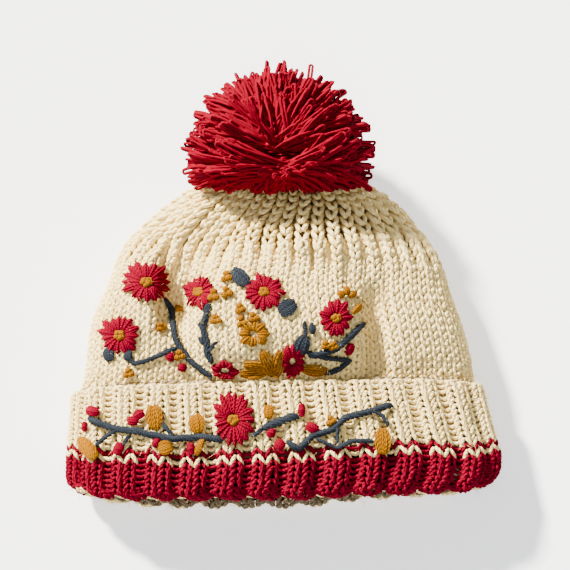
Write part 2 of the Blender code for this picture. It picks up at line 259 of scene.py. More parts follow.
def grain_places(rings):
    """Where a short grain's rings lie along it, close together at its round ends."""
    return 0.5 - 0.5 * np.cos(math.pi * np.arange(rings + 1) / rings)


def grain_profile(rings):
    """A short grain's thickness at its rings."""
    return np.abs(np.sin(math.pi * np.arange(rings + 1) / rings)) ** 0.5


def even_profile(rings):
    """A long strand's thickness at its rings: even, with closed ends."""
    profile = np.ones(rings + 1)
    profile[[0, -1]] = 0
    profile[[1, -2]] = 0.9
    return profile


def unit_length(vectors):
    return vectors / np.maximum(np.linalg.norm(vectors, axis=-1, keepdims=True), 1e-12)


def lay_strands(name, unit, paths, ups, radii, tones, material):
    """Copies of one strand along many paths, joined in one piece.

    paths and ups are strands x rings x 3, radii strands x rings, and tones one shade a strand.
    """
    count = len(paths)
    tangents = unit_length(np.gradient(paths, axis=1))
    sides = unit_length(np.cross(tangents, ups))
    lifts = np.cross(sides, tangents)
    ring = unit["ring"]
    wide = radii[:, ring, None]
    around = np.cos(unit["angle"])[None, :, None] * sides[:, ring]
    around = around + np.sin(unit["angle"])[None, :, None] * lifts[:, ring]
    places = paths[:, ring] + wide * around
    places[..., 2] = np.maximum(places[..., 2], FLOOR_GAP)
    per = len(ring)
    corners = (unit["corners"][None, :] + per * np.arange(count)[:, None]).ravel()
    starts = (unit["starts"][None, :] + len(unit["corners"]) * np.arange(count)[:, None]).ravel()
    mesh = bpy.data.meshes.new(name)
    mesh.vertices.add(count * per)
    write_places(mesh, places)
    mesh.loops.add(len(corners))
    mesh.loops.foreach_set("vertex_index", corners.astype(np.int32))
    mesh.polygons.add(len(starts))
    mesh.polygons.foreach_set("loop_start", starts.astype(np.int32))
    mesh.update(calc_edges=True)
    layer = mesh.uv_layers.new(name="along_yarn")
    layer.data.foreach_set("uv", np.tile(unit["uv"], count))
    mark(mesh, "tone", np.repeat(tones, per))
    mesh.shade_smooth()
    mesh.materials.append(material)
    piece = bpy.data.objects.new(name, mesh)
    bpy.context.collection.objects.link(piece)
    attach(piece, "root")
    return piece


# Skins of the hat

class Skin:
    """A sampled skin: rows along the knit by points round the hat, closed round."""

    def __init__(self, points, outward):
        self.points = points
        self.normals = skin_normals(points, outward)
        steps = np.roll(points, -1, axis=1) - points
        self.girth = np.linalg.norm(steps, axis=2).sum(axis=1)

    def read(self, grid, u, v):
        """Values of a grid of the skin's size at shares round it (u) and along it (v)."""
        rows, count = grid.shape[:2]
        across = (u % 1.0) * count
        down = np.clip(v, 0, 1) * (rows - 1)
        left = np.floor(across).astype(int) % count
        top = np.minimum(np.floor(down).astype(int), rows - 2)
        a = across - np.floor(across)
        b = down - top
        a, b = a[..., None], b[..., None]
        right = (left + 1) % count
        upper = grid[top, left] * (1 - a) + grid[top, right] * a
        lower = grid[top + 1, left] * (1 - a) + grid[top + 1, right] * a
        return upper * (1 - b) + lower * b

    def at(self, u, v):
        """Places and outward normals at shares round the skin and along it."""
        return self.read(self.points, u, v), unit_length(self.read(self.normals, u, v))

    def around(self, v):
        """The way round the hat at a share of the skin's length."""
        return np.interp(np.clip(v, 0, 1), np.linspace(0, 1, len(self.girth)), self.girth)


def skin_normals(points, outward):
    around = np.roll(points, -1, axis=1) - np.roll(points, 1, axis=1)
    along = np.gradient(points, axis=0)
    return unit_length(outward * np.cross(around, along))


def evened(ring, count):
    """A closed ring of points at equal distances from its first point."""
    closed = np.vstack([ring, ring[:1]])
    run = np.concatenate([[0], np.cumsum(np.linalg.norm(np.diff(closed, axis=0), axis=1))])
    at = np.arange(count) * run[-1] / count
    return np.column_stack([np.interp(at, run, closed[:, k]) for k in range(3)])


def softened(points, passes):
    """A skin with its facets smoothed out, round the hat and along it."""
    for _ in range(passes):
        points = (np.roll(points, 1, axis=1) + 2 * points + np.roll(points, -1, axis=1)) / 4
        inner = (points[:-2] + 2 * points[1:-1] + points[2:]) / 4
        points = np.concatenate([points[:1], inner, points[-1:]])
    return points


def averaged_round(points, window):
    """A skin averaged round the hat over a window, which takes out whole ribs or pleats."""
    total = np.zeros_like(points)
    for step in range(window + 1):
        weight = 0.5 if step in (0, window) else 1.0
        total += weight * np.roll(points, step - window // 2, axis=1)
    return total / window


def grooved(points, outward, samples, crest, depth):
    """The skin with its columns gathered in fours: two on a crest, two in the groove beside it.

    crest is how wide each crest column is, depth how deep the groove is and where, by row.
    """
    rows, count = points.shape[:2]
    columns = np.arange(count) / samples
    place = (columns - 0.5 + 2) % 4 - 2
    inner = np.abs(place) < 1
    warped = np.where(inner, crest * np.abs(place), crest + (2 - crest) * (np.abs(place) - 1))
    moved = columns - place + np.sign(place) * warped
    skin = Skin(points, outward)
    u = np.repeat((moved * samples / count)[None, :], rows, axis=0)
    v = np.repeat(np.linspace(0, 1, rows)[:, None], count, axis=1)
    places, normals = skin.at(u, v)
    across = warped[None, :] / 2
    ribs = int(round(count / samples)) // RIB
    strength = dice.uniform(*RIB_UNEVEN, ribs)
    here = np.floor((columns - 0.5) / RIB + 0.5).astype(int) % ribs
    deep = depth[0] * depth[1][:, None] * strength[here][None, :]
    sunk = -deep * across**3
    lifted = 0.25 * deep * np.cos(math.pi * across)
    return places + normals * (sunk + lifted)[..., None]


def roped(points, outward, waves, reach):
    """The skin with rounded ropes beside each other round it, each of its own height."""
    count = points.shape[1]
    turn = np.arange(count) * waves / count
    uneven = dice.uniform(*ROPE_UNEVEN, waves)
    height = ROPE_HEIGHT * uneven[np.floor(turn).astype(int) % waves]
    rise = height * np.abs(np.sin(math.pi * turn)) ** 0.85 - ROPE_SUNK * ROPE_HEIGHT
    normals = skin_normals(points, outward)
    return points + normals * (reach[:, None] * rise[None, :])[..., None]


def swollen(points):
    """Points of the crown with the soft swells added to its upper side."""
    raised = points.copy()
    for across, along, height, wide, long in SWELLS:
        x = (points[..., 0] - across * MM) / (wide * MM)
        y = (points[..., 1] - FOLD_Y - along * MM) / (long * MM)
        upper = np.clip((points[..., 2] - HOLLOW_HEIGHT) / (8 * MM), 0, 1)
        raised[..., 2] += height * MM * np.exp(-(x**SWELL_EDGE) - y**SWELL_EDGE) * upper
    return raised


def smoothed_round(values):
    """Values round the hat, averaged over a window."""
    half = EDGE_WINDOW // 2
    closed = np.concatenate([values[-half:], values, values[:half]])
    return np.convolve(closed, np.ones(EDGE_WINDOW) / EDGE_WINDOW, "valid")


def mended(ring):
    """A ring with its missed points filled in from their neighbours."""
    missed = np.isnan(ring[:, 0])
    index = np.arange(len(ring))
    whole = ring.copy()
    for axis in range(3):
        whole[missed, axis] = np.interp(index[missed], index[~missed], ring[~missed, axis])
    return whole


def rows_by_length(points, rows, bend):
    """Rows of a skin spaced along each of its columns, bent where some columns are longer."""
    steps = np.linalg.norm(np.diff(points, axis=0), axis=2)
    run = np.vstack([np.zeros(points.shape[1]), np.cumsum(steps, axis=0)])
    shortest = run[-1].min()
    share = np.linspace(0, 1, rows)
    laid = np.empty((rows, points.shape[1], 3))
    for k in range(points.shape[1]):
        at = shortest * share + (run[-1, k] - shortest) * share**bend
        for axis in range(3):
            laid[:, k, axis] = np.interp(at, run[:, k], points[:, k, axis])
    return laid


def turns(count):
    """Angles round the hat from the middle of its underside, by its +X side to its top."""
    return np.linspace(-math.pi / 2, 3 * math.pi / 2, count, endpoint=False)


def half_width(tree, y):
    """How far the hat reaches to either side at y."""
    starts = [(-0.3, y, HOLLOW_HEIGHT), (0.3, y, HOLLOW_HEIGHT)]
    aims = [(0, y, HOLLOW_HEIGHT)] * 2
    return float(np.nanmax(np.abs(cast(tree, starts, aims)[:, 0])))


def ring_rays(y, half, count):
    """Rays that meet the hat's outer skin squarely: their starts outside and aims inside."""
    angle = turns(count)
    y = np.broadcast_to(y, (count,))
    height = np.full(count, HOLLOW_HEIGHT)
    raised = height + RAYS_FROM_HIGH * np.sin(angle)
    starts = np.column_stack([RAYS_FROM_WIDE * half * np.cos(angle), y, raised])
    aims = np.column_stack([RAYS_TO_WIDE * half * np.cos(angle), y, height])
    return starts, aims


def crown_skin():
    """The crown's outer skin from inside the cuff to its drawn end."""
    tree = tree_of("crown")
    count = CROWN_COLUMNS * CROWN_SAMPLES
    rings = []
    for y in np.arange(FOLD_Y + CROWN_FROM, CROWN_END - CROWN_MARGIN, CROWN_STEP):
        half = half_width(tree, y)
        starts, aims = ring_rays(y, half, 2 * count)
        rings.append(evened(mended(cast(tree, starts, aims)), count))
    points = swollen(softened(np.array(rings), 1))
    laid = softened(rows_by_length(points, ROW_SAMPLES * CROWN_ROWS + 1, CROWN_BEND), 2)
    gather = np.clip((laid[:, :, 1].mean(axis=1) - FOLD_Y - GATHER_FROM) / GATHER_LENGTH, 0, 1)
    gather = gather * gather * (3 - 2 * gather)
    blend = gather[:, None, None]
    laid = laid * (1 - blend) + averaged_round(laid, RIB * CROWN_SAMPLES) * blend
    smooth = Skin(laid, -1)
    laid = roped(laid, -1, TOP_COLUMNS, gather)
    return Skin(laid, -1), smooth, gather


def cuff_skin():
    """The cuff's skin from its free edge down to the fold, round it and up the lip inside."""
    tree = tree_of("cuff")
    count = CUFF_RAYS * CUFF_COLUMNS
    half = half_width(tree, FOLD_Y + CUFF_WIDE_AT)
    starts, aims = ring_rays(FOLD_Y + CUFF_TRACED_AT, half, count)
    inward = unit_length(aims - starts)
    outer = mended(cast(tree, starts, aims))
    nose = np.full(count, np.inf)
    for deep in FOLD_TRIES:
        start = outer + inward * deep
        start[:, 1] = FOLD_Y - NOSE_RAY[0]
        aim = start.copy()
        aim[:, 1] = FOLD_Y + NOSE_RAY[1]
        found = cast(tree, start, aim)[:, 1]
        nose = np.minimum(nose, np.where(np.isnan(found), np.inf, found))
    ahead = outer.copy()
    ahead[:, 1] = nose
    ahead[np.isinf(nose)] = np.nan
    nose = mended(ahead)[:, 1]
    free = np.full(count, FOLD_Y + FREE_EDGE_FROM)
    for y in np.arange(FOLD_Y + FREE_EDGE_FROM, FOLD_Y + FREE_EDGE_TO, FREE_EDGE_STEP):
        there = ~np.isnan(cast(tree, *ring_rays(y, half, count))[:, 0])
        free[there] = y
    free = smoothed_round(free)
    nose = smoothed_round(nose)
    middle = outer + inward * FOLD_DEEP
    middle[:, 1] = nose + FOLD_BEHIND
    rows = []
    for share in np.linspace(0, 1, CUFF_RINGS):
        y = (free - FREE_EDGE_MARGIN) * (1 - share) + middle[:, 1] * share
        rows.append(mended(cast(tree, *ring_rays(y, half, count))))
    forward = np.array([0, -1.0, 0])
    for turn in np.linspace(0, math.pi, FOLD_RINGS)[2:]:
        way = -inward * math.cos(turn) + forward * math.sin(turn)
        rows.append(mended(cast(tree, middle + way * FOLD_RAY, middle)))
    for share in (0.5, 1.0):
        deeper = rows[-1].copy()
        deeper[:, 1] += share * INSIDE_SHOWN
        rows.append(deeper)
    rings = [evened(row, CUFF_COLUMNS * CUFF_SAMPLES) for row in rows]
    laid = rows_by_length(softened(np.array(rings), 1), ROW_SAMPLES * CUFF_ROWS + 1, 1.0)
    laid = averaged_round(laid, RIB * CUFF_SAMPLES)
    share = np.linspace(0, 1, len(laid))
    # The furrows start shallow at the free edge and fade again towards the inside
    relief = np.clip((1 - share) / 0.16, 0.25, 1) * np.clip(0.35 + share / 0.12, 0, 1)
    smooth = Skin(laid, 1)
    laid = grooved(laid, 1, CUFF_SAMPLES, RIB_CREST, (RIB_DEPTH, relief))
    return Skin(laid, 1), smooth


# Materials

def node(tree, kind, **values):
    """A shader node with some of its sockets and settings set."""
    made = tree.nodes.new(kind)
    for key, value in values.items():
        if hasattr(made, key):
            setattr(made, key, value)
        else:
            made.inputs[key.replace("_", " ")].default_value = value
    return made


def math_node(tree, operation, first, second):
    made = tree.nodes.new("ShaderNodeMath")
    made.operation = operation
    for socket, value in zip(made.inputs, (first, second)):
        if isinstance(value, (int, float)):
            socket.default_value = value
        else:
            tree.links.new(value, socket)
    return made.outputs[0]


def build_yarn_group():
    """Plied yarn: twisted plies along a strand, painted shade in the grooves between them, fine
    fibres, and a shade of its own a strand.
    """
    group = bpy.data.node_groups.new("plied_yarn", "ShaderNodeTree")
    face = group.interface
    for name, kind in (
        ("Light", "NodeSocketColor"), ("Deep", "NodeSocketColor"), ("Plies", "NodeSocketFloat"),
        ("Twist", "NodeSocketFloat"), ("Fibre", "NodeSocketFloat"),
    ):
        face.new_socket(name, in_out="INPUT", socket_type=kind)
    for name, kind in (
        ("Color", "NodeSocketColor"), ("Roughness", "NodeSocketFloat"),
        ("Height", "NodeSocketFloat"),
    ):
        face.new_socket(name, in_out="OUTPUT", socket_type=kind)
    entry = group.nodes.new("NodeGroupInput")
    leave = group.nodes.new("NodeGroupOutput")
    uv = node(group, "ShaderNodeUVMap", uv_map="along_yarn")
    split = group.nodes.new("ShaderNodeSeparateXYZ")
    group.links.new(uv.outputs[0], split.inputs[0])
    round_it = math_node(group, "MULTIPLY", split.outputs[0], entry.outputs["Plies"])
    along = math_node(group, "MULTIPLY", split.outputs[1], entry.outputs["Twist"])
    tone = node(group, "ShaderNodeAttribute", attribute_name="tone")
    start = math_node(group, "MULTIPLY", tone.outputs["Fac"], 7.0)
    turned = math_node(group, "ADD", math_node(group, "ADD", round_it, along), start)
    phase = math_node(group, "MULTIPLY", turned, math.pi)
    ply = math_node(group, "ABSOLUTE", math_node(group, "SINE", phase, 0), 0)
    place = group.nodes.new("ShaderNodeTexCoord")
    fibres = node(group, "ShaderNodeTexNoise", Scale=900.0, Detail=3.0, Roughness=0.6)
    group.links.new(place.outputs["Object"], fibres.inputs["Vector"])
    patches = node(group, "ShaderNodeTexNoise", Scale=60.0, Detail=2.0)
    group.links.new(place.outputs["Object"], patches.inputs["Vector"])
    height = math_node(group, "ADD", math_node(group, "POWER", ply, 0.6),
                       math_node(group, "MULTIPLY", fibres.outputs["Fac"], entry.outputs["Fibre"]))
    # Painted shade: the colour darkens in the grooves between the plies
    depth = math_node(group, "MULTIPLY", math_node(group, "SUBTRACT", 1.0, ply), 0.28)
    shade = math_node(group, "ADD", depth, math_node(group, "MULTIPLY", tone.outputs["Fac"], 0.45))
    shade = math_node(group, "ADD", shade, math_node(group, "MULTIPLY", fibres.outputs["Fac"], 0.3))
    cloudy = math_node(group, "MULTIPLY", patches.outputs["Fac"], 0.35)
    shade = math_node(group, "ADD", shade, cloudy)
    shade = math_node(group, "SUBTRACT", shade, 0.33)
    mix = group.nodes.new("ShaderNodeMix")
    mix.data_type = "RGBA"
    mix.clamp_factor = True
    group.links.new(shade, mix.inputs["Factor"])
    group.links.new(entry.outputs["Light"], mix.inputs[6])
    group.links.new(entry.outputs["Deep"], mix.inputs[7])
    group.links.new(mix.outputs[2], leave.inputs["Color"])
    rough = math_node(group, "MULTIPLY_ADD", fibres.outputs["Fac"], 0.15)
    rough.node.inputs[2].default_value = 0.78
    group.links.new(rough, leave.inputs["Roughness"])
    group.links.new(height, leave.inputs["Height"])
    return group


YARN_GROUP = build_yarn_group()


def yarn_node(tree, light, deep):
    """A yarn group in a material, with its two shades."""
    yarn = tree.nodes.new("ShaderNodeGroup")
    yarn.node_tree = YARN_GROUP
    yarn.inputs["Light"].default_value = (*light, 1)
    yarn.inputs["Deep"].default_value = (*deep, 1)
    return yarn


def wool(name, light, deep, twist=5.0, relief=0.6, sheen=0.2):
    """Wool yarn between a light and a deep shade of its colour."""
    material = bpy.data.materials.new(name)
    material.use_nodes = True
    tree = material.node_tree
    shader = tree.nodes["Principled BSDF"]
    yarn = yarn_node(tree, light, deep)
    yarn.inputs["Plies"].default_value = 3.0
    yarn.inputs["Twist"].default_value = twist
    yarn.inputs["Fibre"].default_value = 0.8
    bump = node(tree, "ShaderNodeBump", Strength=relief, Distance=PLY_DEPTH)
    tree.links.new(yarn.outputs["Height"], bump.inputs["Height"])
    tree.links.new(yarn.outputs["Color"], shader.inputs["Base Color"])
    tree.links.new(yarn.outputs["Roughness"], shader.inputs["Roughness"])
    tree.links.new(bump.outputs["Normal"], shader.inputs["Normal"])
    shader.inputs["Sheen Weight"].default_value = sheen
    shader.inputs["Sheen Roughness"].default_value = 0.5
    shader.inputs["Sheen Tint"].default_value = (*light, 1)
    shader.inputs["Specular IOR Level"].default_value = 0.02
    return material


def build_purl_group():
    """The purl side of knitting, on a piece that lies across X and along Y: rows of short arcs."""
    group = bpy.data.node_groups.new("purl_side", "ShaderNodeTree")
    face = group.interface
    for name in ("Column", "Row"):
        face.new_socket(name, in_out="INPUT", socket_type="NodeSocketFloat")
    face.new_socket("Height", in_out="OUTPUT", socket_type="NodeSocketFloat")
    entry = group.nodes.new("NodeGroupInput")
    leave = group.nodes.new("NodeGroupOutput")
    place = group.nodes.new("ShaderNodeTexCoord")
    split = group.nodes.new("ShaderNodeSeparateXYZ")
    group.links.new(place.outputs["Object"], split.inputs[0])
    column = math_node(group, "DIVIDE", split.outputs["X"], entry.outputs["Column"])
    row = math_node(group, "DIVIDE", split.outputs["Y"], entry.outputs["Row"])
    arc = math_node(group, "ABSOLUTE", math_node(group, "SINE", math_node(
        group, "MULTIPLY", column, math.pi), 0), 0)
    bent = math_node(group, "ADD", row, math_node(group, "MULTIPLY", arc, 0.45))
    ridge = math_node(group, "ABSOLUTE", math_node(group, "SINE", math_node(
        group, "MULTIPLY", bent, math.pi), 0), 0)
    group.links.new(math_node(group, "MULTIPLY", ridge, math_node(
        group, "ADD", math_node(group, "MULTIPLY", arc, 0.6), 0.4)), leave.inputs["Height"])
    return group


PURL_GROUP = build_purl_group()


def ground(name, light, deep, others):
    """The wall under the stitches: its wool, and other colours where an attribute says so, each
    painted darker as shade.
    """
    material = wool(name, light, deep, sheen=0.0)
    tree = material.node_tree
    shader = tree.nodes["Principled BSDF"]
    colour = shader.inputs["Base Color"].links[0].from_socket
    for attribute, other_light, other_deep in others:
        yarn = yarn_node(tree, other_light, other_deep)
        mix = tree.nodes.new("ShaderNodeMix")
        mix.data_type = "RGBA"
        mask = node(tree, "ShaderNodeAttribute", attribute_name=attribute)
        tree.links.new(mask.outputs["Fac"], mix.inputs["Factor"])
        tree.links.new(colour, mix.inputs[6])
        tree.links.new(yarn.outputs["Color"], mix.inputs[7])
        colour = mix.outputs[2]
    tree.links.new(colour, shader.inputs["Base Color"])
    purl = tree.nodes.new("ShaderNodeGroup")
    purl.node_tree = PURL_GROUP
    purl.inputs["Column"].default_value = PURL_COLUMN
    purl.inputs["Row"].default_value = PURL_ROW
    fine = shader.inputs["Normal"].links[0].from_node
    coarse = node(tree, "ShaderNodeBump", Strength=1.0, Distance=PURL_DEPTH)
    tree.links.new(purl.outputs["Height"], coarse.inputs["Height"])
    tree.links.new(coarse.outputs["Normal"], fine.inputs["Normal"])
    return material


CREAM = wool("cream_wool", (0.94, 0.74, 0.31), (0.74, 0.53, 0.20))
# Painted shade: a darker wool for the wall in the valleys between the gathered ropes
PAINTED_VALLEY_SHADE = ("valley", (0.50, 0.38, 0.22), (0.34, 0.25, 0.14))
# Painted shade: a greyer, darker wool for the wall's face inside the hat
PAINTED_INSIDE_SHADE = ("inner", (0.46, 0.41, 0.33), (0.30, 0.26, 0.20))
# The wall under the red band: red wool, painted far darker than its yarn as shade in the furrows
RED_BAND_PAINTED_SHADE = ("band", (0.035, 0.0004, 0.003), (0.02, 0.0003, 0.002))
# The crown's wall between the stitches: cream painted darker and duller than the yarn, as shade
CREAM_GROUND_PAINTED_SHADE = ground("cream_wool_ground_painted_shade", (0.74, 0.60, 0.34), (0.52, 0.40, 0.21),
                      [PAINTED_VALLEY_SHADE, PAINTED_INSIDE_SHADE])
# The cuff's inside rows: the cream yarn painted dark brown, as the shade it lies in
CREAM_INSIDE_PAINTED_SHADE = wool("cream_wool_inside_painted_shade", (0.20, 0.148, 0.088), (0.10, 0.070, 0.040),
                    sheen=0.1)
# The cuff's wall in the rib's furrows and between stitches: cream painted far darker than the yarn,
# as shade
CUFF_GROUND_PAINTED_SHADE = ground("cuff_ground_painted_shade", (0.46, 0.35, 0.19), (0.30, 0.22, 0.11),
                     [PAINTED_INSIDE_SHADE, RED_BAND_PAINTED_SHADE])
RED = wool("red_wool", (0.172, 0.0005, 0.013), (0.096, 0.0004, 0.006))
RED_POMPOM = wool("red_pompom_wool", (0.185, 0.0004, 0.0105), (0.125, 0.0003, 0.006),
                  twist=14.0, relief=0.3)
# The pompom's core: red painted lighter than its loops, as light in the gaps between them
RED_CORE_PAINTED_LIGHT = wool("red_pompom_core_painted_light", (0.30, 0.0005, 0.014), (0.17, 0.0003, 0.008), sheen=0.0)
RED_THREAD = wool("red_embroidery_wool", (0.195, 0.0006, 0.014), (0.105, 0.0004, 0.007),
                  twist=9.0)
GOLD_THREAD = wool("gold_embroidery_wool", (0.28, 0.108, 0.0016), (0.15, 0.050, 0.0008),
                   twist=9.0)
NAVY_THREAD = wool("navy_embroidery_wool", (0.027, 0.033, 0.041), (0.011, 0.0135, 0.0185),
                   twist=9.0)


# Knit

LEG_UNIT = strand_unit(5, 5)
LEG_SHARE = grain_places(5)
LEG_PROFILE = np.array([0, 0.92, 1.0, 1.0, 0.78, 0])
LEG_RISE = np.array([-0.30, 0.05, 0.36, 0.22, -0.40, -0.75])


def leg_shape(share):
    """Half a knit stitch, in columns across, rows along and yarn radii above the skin."""
    across = 0.02 + 0.47 * share**0.85
    along = -0.30 + 1.62 * share
    return across, along, LEG_RISE


def top_leg_shape(share):
    """Half a stitch of the gathered top, drawn out along its rope."""
    across = 0.03 + 0.37 * share**0.85
    along = -0.36 + 2.0 * share
    return across, along, LEG_RISE


def rib_leg_shape(share):
    """Half a knit stitch of the rib, drawn longer and steeper."""
    across = 0.04 + 0.43 * share**0.9
    along = -0.34 + 1.86 * share
    return across, along, LEG_RISE


def bump_shape(share):
    """A purl bump: an arch across the groove that dives under the knit beside it."""
    across = 2.6 * (share - 0.5)
    along = 0.40 + 0.34 * np.sin(math.pi * share)
    above = -0.10 + 0.55 * np.sin(math.pi * share)
    return across, along, above


def edge_shape(share):
    """One link of the chain along the cuff's free edge."""
    across = 1.15 * (share - 0.5)
    along = -0.12 + 0.25 * (share - 0.5)
    above = -0.9 + 0.9 * np.sin(math.pi * share)
    return across, along, above


def lay_knit(name, skin, grid, cells, shape, yarn, material, sides, shift=0.5, lift=0.0):
    """Stitches of one kind in the given cells (column, row) of a skin: one strand for each side."""
    columns, rows = grid
    cells = np.array([(c, r, side) for c, r in cells for side in sides], float)
    count = len(cells)
    across, along, above = shape(LEG_SHARE)
    uneven = dice.normal(0, 1, (count, 4))
    u = cells[:, :1] + shift + cells[:, 2:] * across[None, :] + 0.022 * uneven[:, :1]
    v = cells[:, 1:2] + along[None, :] + 0.05 * uneven[:, 1:2]
    u = u / columns
    v = v / rows
    places, normals = skin.at(u, v)
    wide = skin.around(v[:, 3]) / columns
    scale = np.clip(wide / (YARNS_ACROSS * yarn), *YARN_SCALES) * (1 + 0.05 * uneven[:, 2])
    height = (above[None, :] + lift) * yarn * scale[:, None] + 0.10 * yarn * uneven[:, 3:4]
    places = places + normals * height[..., None]
    radii = yarn * scale[:, None] * LEG_PROFILE[None, :]
    tones = np.repeat(dice.random(count // len(sides)), len(sides))
    return lay_strands(name, LEG_UNIT, places, normals, radii, tones, material)


def mark_band(wall, share):
    """Tells the cuff wall's vertices under the red rows and the fold from the rest; there the wall
    is red wool, painted far darker as shade.
    """
    row = share * CUFF_ROWS - CAST_EDGE
    band = np.clip(row - FIRST_RED_ROW + 0.4, 0, 1) * np.clip(SOLID_RED_TO + 4.0 - row, 0, 1)
    mark(wall.data, "band", band)


def merged_copy(name, node_name, material, cuts=1):
    """A finer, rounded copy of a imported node, its loose triangles merged, with a yarn UV."""
    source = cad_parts[node_name]
    piece = source.copy()
    piece.data = source.data.copy()
    piece.name = name
    bpy.context.collection.objects.link(piece)
    # The copy isn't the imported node, so it drops the marks that the node carries
    for key in list(piece.keys()):
        del piece[key]
    deselect()
    piece.select_set(True)
    bpy.context.view_layer.objects.active = piece
    bpy.ops.object.mode_set(mode="EDIT")
    bpy.ops.mesh.select_all(action="SELECT")
    bpy.ops.mesh.remove_doubles(threshold=1e-6)
    bpy.ops.mesh.tris_convert_to_quads()
    bpy.ops.mesh.subdivide(number_cuts=cuts, smoothness=0)
    bpy.ops.mesh.vertices_smooth(factor=0.5, repeat=2)
    bpy.ops.mesh.select_all(action="SELECT")
    bpy.ops.uv.smart_project()
    bpy.ops.object.mode_set(mode="OBJECT")
    piece.data.uv_layers.active.name = "along_yarn"
    piece.data.materials.clear()
    piece.data.materials.append(material)
    piece.data.shade_smooth()
    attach(piece, "root")
    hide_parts(node_name)
    return piece


def knit_wall(name, node_name, material, skin, inset):
    """The wall under the stitches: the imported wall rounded, its outer face drawn in."""
    piece = merged_copy(name, node_name, material, 2 if node_name == "cuff" else 1)
    mesh = piece.data
    places = read_places(mesh)
    if node_name == "crown":
        places = swollen(places)
    rows, count = skin.points.shape[:2]
    points = skin.points.reshape(-1, 3)
    finder = KDTree(rows * count)
    for index, point in enumerate(points):
        finder.insert(point, index)
    finder.balance()
    index = np.array([finder.find(place)[1] for place in places])
    normals = skin.normals.reshape(-1, 3)[index]
    row = index // count
    above = ((places - points[index]) * normals).sum(axis=1)
    outside = np.clip((above + INSIDE_DEPTH) / INSIDE_BLEND, 0, 1)
    drawn_in = np.broadcast_to(inset, rows)[row]
    write_places(mesh, places - normals * ((above + drawn_in) * outside)[:, None])
    # Marks the wall's inside, which its material paints greyer and darker as shade
    mark(mesh, "inner", 1 - outside)
    mesh.update()
    return piece, row / (rows - 1)


def make_crown():
    """Stocking stitch, whose last rows are drawn together in ropes."""
    skin, smooth, gather = crown_skin()
    inset = CROWN_INSET + ROPE_SUNK * ROPE_HEIGHT * gather
    wall, share = knit_wall("crown_wall", "crown", CREAM_GROUND_PAINTED_SHADE, smooth, inset)
    # The wall is painted darker where the ropes gather: painted shade in their valleys
    mark(wall.data, "valley", np.interp(share, np.linspace(0, 1, len(gather)), gather))
    grid = (CROWN_COLUMNS, CROWN_ROWS)
    below = [(c, r) for r in range(TOP_FROM_ROW + 1) for c in range(CROWN_COLUMNS)]
    taller = (CROWN_ROWS - TOP_FROM_ROW) / TOP_ROWS
    top_grid = (TOP_COLUMNS, CROWN_ROWS / taller)
    top = [(c, TOP_FROM_ROW / taller + r) for r in range(TOP_ROWS) for c in range(TOP_COLUMNS)]
    for name, grid, cells, shape in (("crown_stitches", grid, below, leg_shape),
                                     ("crown_top", top_grid, top, top_leg_shape)):
        middle = np.array(cells, float) + 0.5
        facing = skin.at(middle[:, 0] / grid[0], middle[:, 1] / grid[1])[1][:, 2]
        above = facing > FRONT_FACING
        for side, chosen in (("_front", above), ("_back", ~above)):
            part = [cell for cell, taken in zip(cells, chosen) if taken]
            piece = lay_knit(name + side, skin, grid, part, shape, CROWN_YARN, CREAM,
                             (-1, 1))
            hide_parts("crown")
    return smooth


def make_cuff():
    """Rib of two knit and two purl columns, with a red band knitted in at the folded edge."""
    skin, smooth = cuff_skin()
    grid = (CUFF_COLUMNS, CUFF_ROWS)
    mark_band(*knit_wall("cuff_wall", "cuff", CUFF_GROUND_PAINTED_SHADE, smooth, CUFF_INSET))
    kinds = {"knit_cream": [], "knit_red": [], "purl_cream": [], "purl_red": [], "inside": []}
    kinds["cast_edge"] = [(c, 0) for c in range(CUFF_COLUMNS)]
    column = (np.arange(CUFF_COLUMNS) + 0.5) / CUFF_COLUMNS
    lower = smooth.at(column, np.full(CUFF_COLUMNS, 0.5))[0][:, 2] < HOLLOW_HEIGHT
    for r in range(CUFF_ROWS - 1):
        for c in range(CUFF_COLUMNS):
            back = BACK_SOONER * lower[c]
            red = r == FIRST_RED_ROW or SOLID_RED_FROM <= r < SOLID_RED_TO - back
            if r >= INSIDE_FROM - back:
                kinds["inside"].append((c, r))
            elif c % RIB < 2:
                kinds["knit_red" if red else "knit_cream"].append((c, r))
            elif c % RIB == 2:
                dash = r in DASH_ROWS and dice.random() < DASH_SHARE
                furrow = FIRST_RED_ROW <= r < SOLID_RED_TO - back
                kinds["purl_red" if furrow and not dash else "purl_cream"].append((c, r))
    for name, shape, colour, slot, sides, shift, lift in (
        ("knit_cream", rib_leg_shape, CREAM, "cream_wool", (-1, 1), 0.0, 0.1),
        ("knit_red", rib_leg_shape, RED, "red_wool", (-1, 1), 0.0, 0.1),
        ("inside", rib_leg_shape, CREAM_INSIDE_PAINTED_SHADE, "cream_wool", (-1, 1), 0.0, 0.0),
        ("purl_cream", bump_shape, CREAM, "cream_wool", (1,), 0.5, 0.1),
        ("purl_red", bump_shape, RED, "red_wool", (1,), 0.5, 0.1),
        ("cast_edge", edge_shape, CREAM, "cream_wool", (1,), 0.0, 0.2),
    ):
        cells = [(c, r + CAST_EDGE) for c, r in kinds[name]]
        piece = lay_knit("cuff_" + name, skin, grid, cells, shape, CUFF_YARN, colour,
                         sides, shift, lift)
        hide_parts("cuff")
    return smooth


# Camera and the photo's pixels

def camera_ways():
    """The camera's forward, upward and sideways directions."""
    forward = np.array([0, math.cos(CAMERA_ELEVATION), -math.sin(CAMERA_ELEVATION)])
    upward = np.array([0, math.sin(CAMERA_ELEVATION), math.cos(CAMERA_ELEVATION)])
    return forward, upward, np.array([1.0, 0, 0])


AIM = np.array([AIM_ACROSS, FOLD_Y + AIM_FROM_FOLD, AIM_HEIGHT])
EYE = AIM - CAMERA_DISTANCE * camera_ways()[0]


